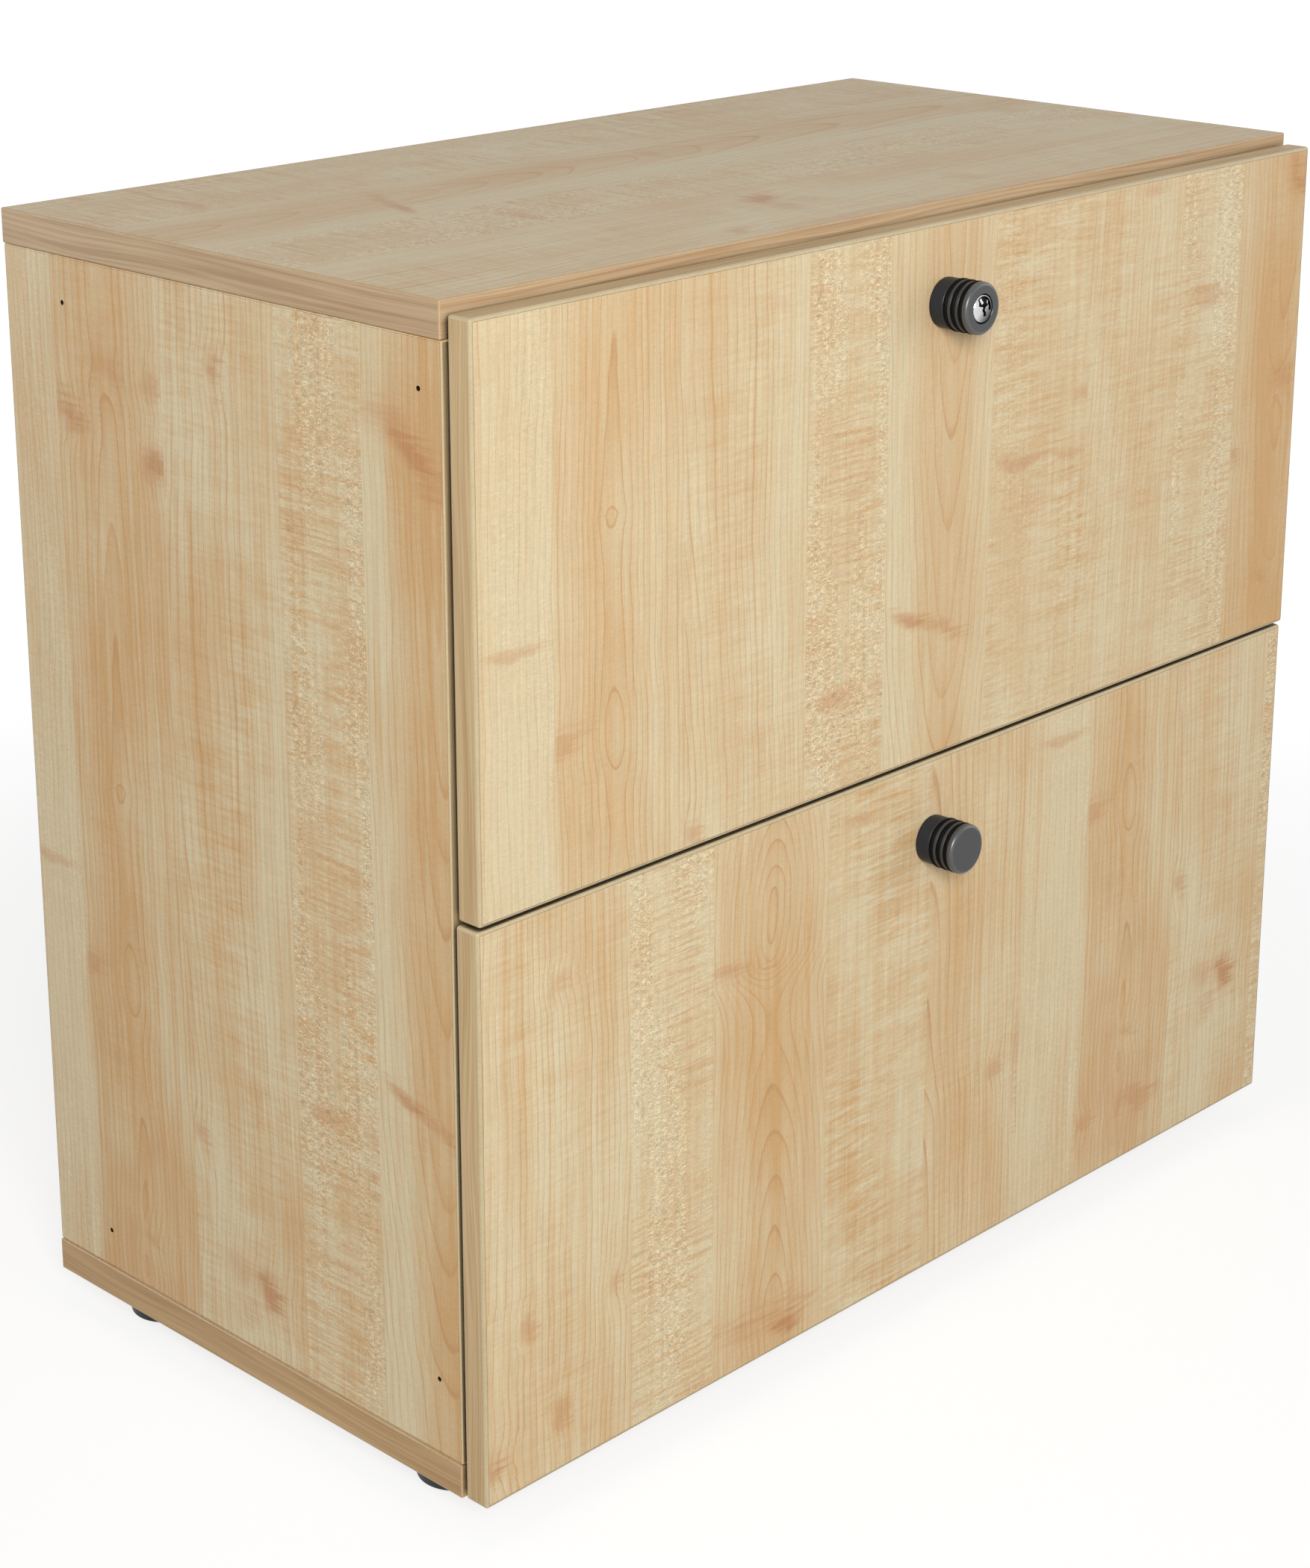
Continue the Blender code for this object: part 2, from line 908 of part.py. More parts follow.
lower_travel = add_empty("lower_drawer_travel", (0.0, front_face_y, lower_knob_z))
add_front(
    "lower",
    lower_front_offset,
    lower_front_low_z,
    lower_front_high_z,
    lower_knob_z,
    knob_screw_radius + hole_clearance,
    lower_travel,
)
add_frame("lower", lower_knob_z, lower_travel)
add_plain_knob("lower", lower_knob_z, lower_travel)
add_rings("lower", lower_knob_z, lower_travel)
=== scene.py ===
import itertools
import json
import math

import bmesh
import bpy
from mathutils import Matrix, Vector


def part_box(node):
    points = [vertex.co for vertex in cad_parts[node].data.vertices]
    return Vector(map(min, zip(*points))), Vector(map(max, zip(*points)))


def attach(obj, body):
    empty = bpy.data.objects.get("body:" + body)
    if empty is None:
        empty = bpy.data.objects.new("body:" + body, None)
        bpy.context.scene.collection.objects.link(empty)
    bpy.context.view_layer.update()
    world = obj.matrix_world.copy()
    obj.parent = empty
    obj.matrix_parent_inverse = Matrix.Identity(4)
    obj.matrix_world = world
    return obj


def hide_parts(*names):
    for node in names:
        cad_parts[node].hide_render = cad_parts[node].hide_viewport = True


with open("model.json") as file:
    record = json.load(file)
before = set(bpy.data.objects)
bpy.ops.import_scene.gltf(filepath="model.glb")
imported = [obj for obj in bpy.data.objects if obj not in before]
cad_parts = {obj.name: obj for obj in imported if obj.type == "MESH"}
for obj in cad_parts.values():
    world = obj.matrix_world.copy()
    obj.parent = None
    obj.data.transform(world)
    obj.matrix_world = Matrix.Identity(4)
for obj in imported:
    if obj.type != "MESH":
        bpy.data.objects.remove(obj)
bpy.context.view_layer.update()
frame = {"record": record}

mm = 0.001
bodies = {node: body for body, nodes in frame["record"]["behaviour"]["bodies"].items() for node in nodes}
bpy.context.scene.view_settings.view_transform = "Standard"


# Node helpers

def addNode(kind, inputs, tree=None, **settings):
    # in the given tree, or in the one that its linked inputs come from
    tree = tree or next(value.id_data for value in inputs.values() if isinstance(value, bpy.types.NodeSocket))
    node = tree.nodes.new(kind)
    for name, value in settings.items():
        setattr(node, name, value)
    for key, value in inputs.items():
        if isinstance(value, bpy.types.NodeSocket):
            tree.links.new(value, node.inputs[key])
        else:
            node.inputs[key].default_value = value
    return node


def calc(operation, first, second=0.0, third=0.0, clamp=False):
    inputs = {0: first, 1: second, 2: third}
    return addNode("ShaderNodeMath", inputs, operation=operation, use_clamp=clamp).outputs[0]


def times(first, second, clamp=False):
    return calc("MULTIPLY", first, second, clamp=clamp)


def plus(first, second):
    return calc("ADD", first, second)


def minus(first, second):
    return calc("SUBTRACT", first, second)


def timesPlus(value, factor, extra):
    return calc("MULTIPLY_ADD", value, factor, extra)


def spread(value, fromLow, fromHigh, toLow=0.0, toHigh=1.0, smooth=True):
    kind = "SMOOTHSTEP" if smooth else "LINEAR"
    inputs = {0: value, 1: fromLow, 2: fromHigh, 3: toLow, 4: toHigh}
    return addNode("ShaderNodeMapRange", inputs, interpolation_type=kind).outputs[0]


def hump(value, rise, fall):
    return times(spread(value, *rise), spread(value, *fall, 1.0, 0.0))


def centred(value, gain):
    return times(minus(value, 0.5), gain)


def wobble(first, second, gains):
    # two noises about zero, each with its own gain
    return plus(centred(first, gains[0]), centred(second, gains[1]))


def lengthOf(first, second):
    squares = [times(part, part) for part in (first, second)]
    return calc("SQRT", plus(*squares))


def surfacePoint(tree):
    return addNode("ShaderNodeTexCoord", {}, tree).outputs["Object"]


def vectorCalc(operation, first, second=(0.0, 0.0, 0.0)):
    node = addNode("ShaderNodeVectorMath", {0: first, 1: second}, operation=operation)
    return node.outputs["Value" if operation in ("DOT_PRODUCT", "LENGTH") else "Vector"]


def mixed(first, second, shares):
    return plus(times(first, shares[0]), times(second, shares[1]))


def blendColor(factor, first, second, kind="MIX"):
    inputs = {0: factor, 6: first, 7: second}
    return addNode("ShaderNodeMix", inputs, data_type="RGBA", blend_type=kind).outputs[2]


def shadedBy(color, light):
    grey = addNode("ShaderNodeCombineColor", {0: light, 1: light, 2: light}).outputs[0]
    return blendColor(1.0, color, grey, "MULTIPLY")


def noise(across, along, acrossScale, alongScale, detail=2.0, seed=0.0, rough=0.5):
    # scales are in wavelets a metre
    place = addNode("ShaderNodeCombineXYZ", {
        0: times(across, acrossScale),
        1: timesPlus(along, alongScale, seed),
    }).outputs[0]
    inputs = {"Vector": place, "Scale": 1.0, "Detail": detail, "Roughness": rough}
    return addNode("ShaderNodeTexNoise", inputs, noise_dimensions="2D").outputs[0]


def rgb(red, green, blue):
    # screen values 0..255 to a linear colour
    parts = [value / 255 for value in (red, green, blue)]
    return tuple(c / 12.92 if c < 0.04045 else ((c + 0.055) / 1.055) ** 2.4 for c in parts) + (1.0,)


def newGroup(name, inputs, outputs):
    # a colour makes a colour socket and a number a value socket
    group = bpy.data.node_groups.new(name, "ShaderNodeTree")
    for socketName, value in inputs.items():
        kind = "NodeSocketColor" if isinstance(value, tuple) else "NodeSocketFloat"
        group.interface.new_socket(socketName, in_out="INPUT", socket_type=kind).default_value = value
    for socketName in outputs:
        kind = "NodeSocketColor" if socketName == "Color" else "NodeSocketFloat"
        group.interface.new_socket(socketName, in_out="OUTPUT", socket_type=kind)
    return group, group.nodes.new("NodeGroupInput").outputs


def finishGroup(group, values):
    made = group.nodes.new("NodeGroupOutput").inputs
    for name, value in values.items():
        group.links.new(value, made[name])
    return group


def useGroup(tree, group, inputs):
    return addNode("ShaderNodeGroup", inputs, tree, node_tree=group).outputs


def newMaterial(name, roughness=0.5, metallic=0.0, specular=0.5):
    material = bpy.data.materials.new(name)
    material.use_nodes = True
    shader = material.node_tree.nodes["Principled BSDF"]
    shader.inputs["Roughness"].default_value = roughness
    shader.inputs["Metallic"].default_value = metallic
    shader.inputs["Specular IOR Level"].default_value = specular
    return material, material.node_tree, shader


def dress(shader, color, height, bump, strength=0.5, roughness=None):
    links = shader.id_data.links
    links.new(color, shader.inputs["Base Color"])
    if roughness:
        links.new(roughness, shader.inputs["Roughness"])
    node = addNode("ShaderNodeBump", {"Height": height, "Distance": bump, "Strength": strength})
    links.new(node.outputs[0], shader.inputs["Normal"])


# Maple decor: one long printed sheet of planks that every board is cut from. Across runs over the planks,
# along runs down the grain. Sizes are in millimetres.

sheet = {
    "start": -571,
    "alongLow": -200,
    "alongHigh": 1200,
    "ringStep": 4.5,
    "deepest": 20.0,  # growth rings, the most that a depth curve reaches
    "heartRoom": 100,  # how far a ring centre may lie outside the sheet
    "ownLength": 4000.0,  # each plank's own stretch of the along axis, which keeps a knot on its plank
    "widestKnot": 20,  # a wider mark is a stain, and no ring swells past it
    "pale": rgb(231, 214, 176),
    "warm": rgb(217, 175, 122),
    "line": rgb(196, 138, 88),
    "knot": rgb(202, 142, 92),
    "knotHeart": rgb(176, 110, 66),
    "bar": rgb(214, 170, 120),
    "bright": rgb(240, 228, 198),
}
# width, tone (0 pale, 1 warm), ring lines, curl, quilt, heart (where the rings centre, from the plank's left
# edge), glow (warmth gathered round the heart)
planks = [
    (122, 0.24, 0.95, 0.35, 0.00, -45, 0.0),
    (72, 0.12, 0.10, 0.45, 1.00, 36, 0.0),
    (105, 0.36, 0.85, 0.10, 0.00, 56, 0.24),
    (101, 0.34, 0.15, 1.00, 0.12, 120, 0.0),
    (101, 0.34, 1.00, 0.25, 0.00, -4, 0.0),
    (70, 0.16, 0.60, 0.12, 0.15, -30, 0.0),
    (105, 0.34, 0.95, 0.15, 0.00, 47, 0.18),
    (107, 0.24, 0.85, 0.40, 0.00, -40, 0.0),
    (73, 0.20, 0.05, 0.80, 1.00, 36, 0.0),
    (103, 0.14, 0.80, 0.10, 0.00, 62, 0.45),
    (100, 0.32, 0.10, 1.00, 0.30, 160, 0.0),
    (102, 0.30, 0.65, 0.60, 0.10, -50, 0.0),
    (69, 0.20, 0.10, 0.50, 0.90, 34, 0.0),
    (114, 0.55, 0.75, 0.20, 0.00, 57, 0.35),
]
# how deep the saw runs from the heart down each plank: (along, rings)
depths = [
    [(-200, 9), (350, 8), (600, 10), (1200, 9)],
    [(-200, 4), (1200, 6)],
    [(-200, 6), (330, 6), (407, 3), (440, 1.6), (472, 3), (507, 7.8), (552, 7), (585, 6), (617, 5), (652, 4),
     (687, 3), (722, 2), (800, 4), (1200, 8)],
    [(-200, 12), (1200, 9)],
    [(-200, 10), (377, 9), (492, 7.5), (605, 6), (640, 5), (720, 4), (1200, 3)],
    [(-200, 5), (1200, 5)],
    [(-200, 6), (40, 5), (155, 4), (225, 3), (305, 2.5), (330, 2.0), (337, 1.6), (344, 2.0), (380, 2.5),
     (436, 2), (465, 1), (491, 2), (520, 2.5), (555, 2), (600, 1), (640, 0.5), (700, 1.7), (750, 2.6),
     (1200, 6)],
    [(-200, 9), (0, 10), (250, 13), (550, 8.4), (700, 8.8), (1200, 11)],
    [(-200, 5), (1200, 5)],
    [(-200, 1), (185, 2), (265, 3), (302, 4), (351, 5), (411, 6), (478, 7), (521, 8), (563, 9), (612, 10),
     (642, 11), (735, 12), (762, 13), (1200, 17)],
    [(-200, 12), (1200, 8)],
    [(-200, 5), (200, 6), (400, 10), (560, 13), (1200, 14)],
    [(-200, 5), (1200, 5)],
    [(-200, 2), (238, 4), (370, 5.4), (538, 7), (700, 8), (1200, 10)],
]
# knots and stains: across, along, half width, half length, lean, strength
knots = [
    (-506, 427, 10, 7, 0.0, 0.7), (-536, 637, 6, 9, 0.3, 0.7), (-463, 640, 8, 10, -0.2, 0.8),
    (-508, 705, 7, 11, 0.3, 0.8), (-562, 722, 14, 11, 0.0, 0.9), (-356, 467, 26, 7, 0.15, 0.8),
    (-330, 720, 40, 16, 0.1, 1.0), (-243, 400, 18, 4, 0.1, 0.8), (-97, 620, 9, 9, 0.0, 0.7),
    (-75, 640, 6, 36, 0.0, 0.6), (-35, 400, 34, 4, 0.0, 0.6), (55, 64, 14, 10, 0.2, 0.6),
    (93, 66, 12, 10, 0.0, 0.7), (10, 98, 17, 13, 0.3, 0.9), (98, 115, 12, 12, 0.0, 0.9),
    (11, 467, 21, 15, 0.0, 0.8), (60, 647, 12, 10, 0.2, 0.9), (74, 700, 34, 10, 0.1, 0.8),
    (9, 700, 16, 8, 0.0, 0.8), (153, 50, 9, 12, 0.0, 0.9), (114, 549, 10, 10, 0.3, 0.8),
    (180, 637, 16, 14, 0.3, 1.0), (250, 493, 34, 7, 0.0, 0.7), (250, 590, 36, 2.5, 0.0, 0.6),
    (318, 461, 38, 6, 0.35, 0.9), (328, 66, 30, 15, 0.5, 0.9), (437, 376, 52, 4, 0.08, 0.8),
    (403, 374, 15, 7, 0.0, 0.7), (482, 340, 11, 5, 0.0, 0.6), (557, 217, 16, 7, 0.0, 0.6),
    (622, 297, 34, 8, 0.0, 0.6), (728, 236, 20, 18, 0.4, 0.9), (664, 418, 11, 8, 0.2, 0.8),
    (705, 518, 13, 9, 0.3, 0.8), (722, 370, 13, 12, 0.0, 0.7), (345, 712, 14, 12, 0.0, 0.6),
    (46, 690, 58, 80, 0.1, 0.34), (150, 635, 14, 24, 0.0, 0.7), (140, 790, 12, 15, 0.0, 0.5),
    (300, 1040, 16, 18, 0.0, 0.5),
]
# the sheet's noises: wavelets a metre across and along, detail, seed, roughness
grains = {
    "wander": (9.0, 3.2, 2.0, 3.0, 0.5),
    "ripple": (22.0, 30.0, 2.0, 11.0, 0.5),
    "streaks": (30.0, 330.0, 3.0, 23.0, 0.62),
    "jag": (330.0, 300.0, 2.0, 41.0, 0.7),
    "dashes": (170.0, 1000.0, 2.0, 43.0, 0.65),
    "dots": (1100.0, 1300.0, 2.0, 71.0, 0.7),
    "uneven": (0.8, 1.0, 1.0, 5.0, 0.5),
    "presence": (1.7, 9.0, 2.0, 17.0, 0.5),
    "bands": (13.0, 75.0, 2.0, 31.0, 0.5),
    "drift": (16.0, 7.0, 2.0, 37.0, 0.5),
    "column": (30.0, 5.0, 1.0, 53.0, 0.5),
    "bars": (17.0, 380.0, 3.0, 47.0, 0.62),
    "barDrift": (13.0, 13.0, 2.0, 49.0, 0.5),
    "fibre": (900.0, 22.0, 2.0, 59.0, 0.6),
    "stripe": (170.0, 2.6, 2.0, 61.0, 0.5),
    "clouds": (18.0, 6.5, 3.0, 67.0, 0.5),
}
# how far the noises move the marks, in the marks' own unit, and how strong the marks are
figure = {
    "knotRagAcross": (14.0, 3.0),
    "knotRagAlong": (12.0, 4.0),
    "knotFray": (2.0, 2.4),
    "knotReach": 1.45,
    "ringSway": (22.0, 2.5),
    "ringUneven": 0.8,
    "ringUnevenDrift": 7.3,  # a plank
    "ringSwell": 0.9,
    "ringStart": 0.03,
    "ringShade": 0.16,
    "streakBend": 0.05,
    "dashShake": 0.005,
    "barShake": 0.006,
    "curl": (2.3, 1.1),
    "curlWarmth": 0.8,
    "warmthDrift": (1.0, 0.7),
    "line": 0.52,
    "bar": 0.60,
    "bright": 0.42,
    "knot": 0.62,
    "knotHeart": 0.30,
    "stipple": (1.0, 1.0),
    "plainStipple": 0.20,
    "fibre": 0.25,
    "seamShade": 0.965,
    "heightShares": (0.6, 0.4),
    "shineShares": (0.5, 0.5),
}
# where a mark begins and ends in its noise or distance, and its strength at these two ends where they aren't
# 0 and 1
ranges = {
    "knotSwell": (0.2, 2.8),
    "heartCalm": (6.0, 30.0),
    "lateWood": ((0.79, 0.93), (0.94, 1.0)),  # it rises and falls within a year
    "yearShade": ((0.35, 0.93), (0.93, 1.0)),
    "presence": (0.34, 0.62, 0.40, 1.0),
    "drift": (0.40, 0.62, 0.45, 1.0),
    "column": (0.40, 0.60),
    "bars": (0.40, 0.66),
    "barDrift": (0.36, 0.60, 0.10, 1.0),
    "columnStipple": (0.0, 1.0, 0.26, 0.80),
    "glow": (8.0, 52.0, 0.9, -0.1),
    "bright": (0.54, 0.68),
    "knotHeart": (0.75, 1.0),
    "seam": (0.1, 0.6),
}


def rampOf(factor, rows):
    # one colour a plank, switched without blending
    node = addNode("ShaderNodeValToRGB", {0: factor})
    ramp = node.color_ramp
    ramp.interpolation = "CONSTANT"
    for i, color in enumerate(rows):
        stop = ramp.elements[0] if i == 0 else ramp.elements.new(i / len(rows))
        stop.color = color
    ramp.elements.remove(ramp.elements[-1])
    return node.outputs


def curveOf(factor, rows, top):
    # a smooth curve over the sheet's length, its highest value at top
    node = addNode("ShaderNodeFloatCurve", {1: factor})
    points = node.mapping.curves[0].points
    length = sheet["alongHigh"] - sheet["alongLow"]
    spots = [((v - sheet["alongLow"]) / length, value / top) for v, value in rows]
    points[0].location, points[1].location = spots[0], spots[-1]
    for spot in spots[1:-1]:
        points.new(*spot)
    node.mapping.update()
    return node.outputs[0]


def plankStarts():
    starts = [0]
    for plank in planks:
        starts.append(starts[-1] + plank[0])
    return starts


def mapleSheet():
    sockets = {"Across": 0.0, "Along": 0.0, "Depth of Tone": 1.0}
    group, given = newGroup("maple sheet", sockets, ["Color", "Height", "Shine"])
    starts = plankStarts()
    total = starts[-1]
    across, along = given["Across"], given["Along"]
    turn = calc("FRACT", timesPlus(across, 1 / (total * mm), -sheet["start"] / total))
    place = times(turn, total)  # millimetres from the sheet's left edge
    down = calc("DIVIDE", along, mm)

    def grain(name, first=across, second=along):
        return noise(first, second, *grains[name])

    # which plank, and its own values
    number = 0.0
    for start in starts[1:-1]:
        number = plus(calc("GREATER_THAN", place, start), number)
    pick = timesPlus(number, 1 / len(planks), 0.5 / len(planks))
    looks = rampOf(pick, [plank[1:5] for plank in planks])
    tone, ringWeight, curlWeight = addNode("ShaderNodeSeparateColor", {0: looks[0]}).outputs
    quiltWeight = looks[1]
    room = sheet["heartRoom"]
    places = rampOf(pick, [
        ((start + plank[5] + room) / (total + 2 * room), start / total, (start + plank[0]) / total, plank[6])
        for start, plank in zip(starts, planks)
    ])
    heart, leftEdge, rightEdge = addNode("ShaderNodeSeparateColor", {0: places[0]}).outputs
    glow = places[1]
    heart = timesPlus(heart, total + 2 * room, -room)
    leftGap = minus(turn, leftEdge)
    rightGap = minus(rightEdge, turn)
    edgeGap = times(calc("MINIMUM", leftGap, rightGap), total)

    # the saw's depth, one curve a plank
    share = spread(down, sheet["alongLow"], sheet["alongHigh"], smooth=False)
    depth = 0.0
    for i, rows in enumerate(depths):
        curve = curveOf(share, rows, sheet["deepest"])
        depth = timesPlus(curve, calc("COMPARE", number, i, 0.5), depth)

    # noises that several marks share
    wander = grain("wander")
    ripple = grain("ripple")
    streaks = grain("streaks", timesPlus(wander, figure["streakBend"], across))
    jag = grain("jag")
    dashes = grain("dashes", across, plus(along, centred(jag, figure["dashShake"])))
    dots = grain("dots")

    # knots and stains
    raggedAcross = plus(place, wobble(streaks, jag, figure["knotRagAcross"]))
    raggedAlong = plus(down, wobble(ripple, jag, figure["knotRagAlong"]))
    fray = wobble(streaks, ripple, figure["knotFray"])
    raggedAlong = timesPlus(number, sheet["ownLength"], raggedAlong)
    stain, swell = 0.0, 0.0
    for u, v, halfWidth, halfLength, lean, strength in knots:
        right = u - sheet["start"]
        plankNumber = sum(1 for start in starts[1:-1] if right > start)
        du = minus(raggedAcross, right)
        dv = minus(raggedAlong, v + plankNumber * sheet["ownLength"])
        dv = timesPlus(du, -lean, dv)
        far = lengthOf(calc("DIVIDE", du, halfWidth), calc("DIVIDE", dv, halfLength))
        mark = spread(plus(far, fray), 0.0, figure["knotReach"], strength, 0.0)
        stain = calc("MAXIMUM", stain, mark)
        if halfWidth < sheet["widestKnot"]:
            swell = calc("MAXIMUM", swell, spread(far, *ranges["knotSwell"], strength, 0.0))

    # growth rings round the heart, swelling past the knots
    sway = wobble(wander, ripple, figure["ringSway"])
    side = plus(minus(place, heart), sway)
    reach = lengthOf(side, times(depth, sheet["deepest"] * sheet["ringStep"]))
    aside = calc("ABSOLUTE", side)
    rings = calc("DIVIDE", reach, sheet["ringStep"])
    uneven = grain("uneven", rings, times(number, figure["ringUnevenDrift"]))
    uneven = times(centred(uneven, figure["ringUneven"]), spread(aside, *ranges["heartCalm"]))
    bulge = timesPlus(swell, figure["ringSwell"], figure["ringStart"])
    rings = plus(rings, plus(uneven, bulge))
    year = calc("FRACT", rings)
    lateWood = hump(year, *ranges["lateWood"])
    shade = hump(year, *ranges["yearShade"])
    presence = spread(grain("presence", rings), *ranges["presence"])
    lineMask = times(times(lateWood, ringWeight), presence)

    # curl: soft streaks square to the grain, in drifts
    bands = grain("bands")
    drift = spread(grain("drift"), *ranges["drift"])
    curl = wobble(streaks, bands, figure["curl"])
    curl = times(times(curl, curlWeight), drift)

    # quilt: ragged reddish bars in columns, fine pale stipple between
    column = spread(grain("column"), *ranges["column"])
    shaken = timesPlus(centred(jag, figure["barShake"]), column, along)
    bars = grain("bars", across, shaken)
    barDrift = spread(grain("barDrift"), *ranges["barDrift"])
    barMask = times(times(spread(bars, *ranges["bars"]), barDrift), quiltWeight)
    stipple = wobble(dots, dashes, figure["stipple"])
    columnStipple = spread(column, *ranges["columnStipple"])
    stippleWeight = timesPlus(quiltWeight, columnStipple, figure["plainStipple"])

    # fine threads and clouds down the grain
    fibre = grain("fibre")
    stripe = grain("stripe")
    clouds = grain("clouds")

    warmth = timesPlus(glow, spread(aside, *ranges["glow"]), tone)
    warmth = plus(warmth, wobble(clouds, stripe, figure["warmthDrift"]))
    warmth = timesPlus(curl, figure["curlWarmth"], warmth)
    warmth = timesPlus(times(shade, ringWeight), figure["ringShade"], warmth)
    warmth = times(warmth, given["Depth of Tone"], clamp=True)
    color = blendColor(warmth, sheet["pale"], sheet["warm"])
    brightMask = times(spread(dashes, *ranges["bright"]), times(quiltWeight, column))
    knotHeart = spread(stain, *ranges["knotHeart"])
    marks = {"line": lineMask, "bar": barMask, "bright": brightMask, "knot": stain, "knotHeart": knotHeart}
    for name, mask in marks.items():
        color = blendColor(times(mask, figure[name]), color, sheet[name])
    seamShade = spread(edgeGap, *ranges["seam"], figure["seamShade"], 1.0)
    ground = plus(centred(fibre, figure["fibre"]), seamShade)
    return finishGroup(group, {
        "Color": shadedBy(color, timesPlus(stipple, stippleWeight, ground)),
        "Height": mixed(fibre, dots, figure["heightShares"]),
        "Shine": mixed(fibre, streaks, figure["shineShares"]),
    })


mapleGroup = mapleSheet()


noiseMiddle = (0.3, 0.7)  # most of a noise's values lie between these
boardLook = {"specular": 0.25, "roughness": (0.40, 0.52), "bump": 0.00006, "bumpStrength": 0.6}
bandLook = {
    "bend": (30.0, 5.0, 1.0, 2.0),
    "bendReach": 0.010,
    "lines": (520.0, 6.0, 3.0, 7.0, 0.6),
    "lineRange": (0.36, 0.66),
    "wide": (120.0, 4.0, 2.0, 13.0),
    "shares": (0.6, 0.4),
    "roughness": 0.48,
    "specular": 0.4,
    "bump": 0.00004,
}
gapShadeLook = {"reach": 0.006, "samples": 8, "open": (0.30, 0.72), "light": (0.10, 1.0)}
mottleLook = {
    "grainScale": 1500.0,
    "grainDetail": 2.0,
    "grainRange": (0.35, 0.65),
    "cloudScale": 40.0,
    "cloudDetail": 3.0,
    "shares": (0.5, 0.5),
}


def surfaceAlong(tree, *axes):
    # the surface's point measured along each axis
    point = surfacePoint(tree)
    return [vectorCalc("DOT_PRODUCT", point, axis) for axis in axes]


def mapleMaterial(name, acrossAxis, acrossStart, alongAxis, alongStart, depth=1.0):
    # starts are the sheet's across and along, in metres, at the room's own zero
    material, tree, shader = newMaterial(name, specular=boardLook["specular"])
    across, along = surfaceAlong(tree, acrossAxis, alongAxis)
    inputs = {"Across": plus(across, acrossStart), "Along": plus(along, alongStart), "Depth of Tone": depth}
    maple = useGroup(tree, mapleGroup, inputs)
    roughness = spread(maple["Shine"], *noiseMiddle, *boardLook["roughness"])
    dress(shader, maple["Color"], maple["Height"], boardLook["bump"], boardLook["bumpStrength"], roughness)
    return material


def closeShade():
    # paints shade into a colour where another board stands close by, as in the gap between the drawer fronts
    sockets = {"Color": rgb(128, 128, 128), "Reach": gapShadeLook["reach"]}
    group, given = newGroup("close shade", sockets, ["Color"])
    inputs = {"Distance": given["Reach"]}
    clear = addNode("ShaderNodeAmbientOcclusion", inputs, samples=gapShadeLook["samples"]).outputs["AO"]
    light = spread(clear, *gapShadeLook["open"], *gapShadeLook["light"])
    return finishGroup(group, {"Color": shadedBy(given["Color"], light)})


def bandPrint():
    # printed grain on the flat of an edge band
    sockets = {"Across": 0.0, "Along": 0.0, "Light": rgb(200, 168, 128), "Dark": rgb(164, 122, 82)}
    group, given = newGroup("band print", sockets, ["Color", "Height"])
    across, along = given["Across"], given["Along"]
    bent = timesPlus(noise(across, along, *bandLook["bend"]), bandLook["bendReach"], across)
    lines = noise(bent, along, *bandLook["lines"])
    wide = noise(bent, along, *bandLook["wide"])
    fine, broad = spread(lines, *bandLook["lineRange"]), spread(wide, *noiseMiddle)
    mix = mixed(fine, broad, bandLook["shares"])
    return finishGroup(group, {"Color": blendColor(mix, given["Light"], given["Dark"]), "Height": lines})


def plainMottle():
    # faint unevenness of a single-colour plastic, paint or metal
    sockets = {"Color": rgb(128, 128, 128), "Second": rgb(110, 110, 110)}
    sockets.update({"Grain Scale": mottleLook["grainScale"], "Cloud Scale": mottleLook["cloudScale"]})
    group, given = newGroup("fine mottle", sockets, ["Color", "Grain", "Cloud"])
    point = surfacePoint(group)
    grain, cloud = [
        addNode("ShaderNodeTexNoise", {"Vector": point, "Scale": scale, "Detail": detail}).outputs[0]
        for scale, detail in (
            (given["Grain Scale"], mottleLook["grainDetail"]),
            (given["Cloud Scale"], mottleLook["cloudDetail"]),
        )
    ]
    fine, broad = spread(grain, *mottleLook["grainRange"]), spread(cloud, *noiseMiddle)
    mix = mixed(fine, broad, mottleLook["shares"])
    color = blendColor(mix, given["Color"], given["Second"])
    return finishGroup(group, {"Color": color, "Grain": grain, "Cloud": cloud})


closeGroup = closeShade()
bandGroup = bandPrint()
mottleGroup = plainMottle()


def bandMaterial(name, acrossAxis, alongAxis, light, dark):
    material, tree, shader = newMaterial(name, bandLook["roughness"], specular=bandLook["specular"])
    across, along = surfaceAlong(tree, acrossAxis, alongAxis)
    inputs = {"Across": across, "Along": along, "Light": rgb(*light), "Dark": rgb(*dark)}
    band = useGroup(tree, bandGroup, inputs)
    # the band's colour takes painted shade where another board stands close by
    shaded = useGroup(tree, closeGroup, {"Color": band["Color"]})
    dress(shader, shaded["Color"], band["Height"], bandLook["bump"])
    return material


# shadeInGaps paints shade into the colour where another board stands close by
def coat(name, light, dark, roughness, metallic=0.0, scale=1500.0, bump=0.00003, specular=0.5, shadeInGaps=False):
    material, tree, shader = newMaterial(name, metallic=metallic, specular=specular)
    look = useGroup(tree, mottleGroup, {"Color": rgb(*light), "Second": rgb(*dark), "Grain Scale": scale})
    color = useGroup(tree, closeGroup, {"Color": look["Color"]})["Color"] if shadeInGaps else look["Color"]
    dress(shader, color, look["Grain"], bump, roughness=spread(look["Cloud"], *noiseMiddle, *roughness))
    return material


# the lock face's painted reflection, which fades into painted shade, and its turned rings
polish = {
    "slant": (0.62, 0.0, -0.78),  # towards the side painted in shade
    "reflectionFade": (-0.0045, 0.0085),
    "bright": rgb(204, 204, 205),
    "paintedShade": rgb(78, 79, 81),
    "roughness": (0.16, 0.30),
    "rings": 26000.0,  # radians a metre
    "ringShade": 0.012,
    "ringBump": 0.000006,
    "bumpStrength": 0.4,
}


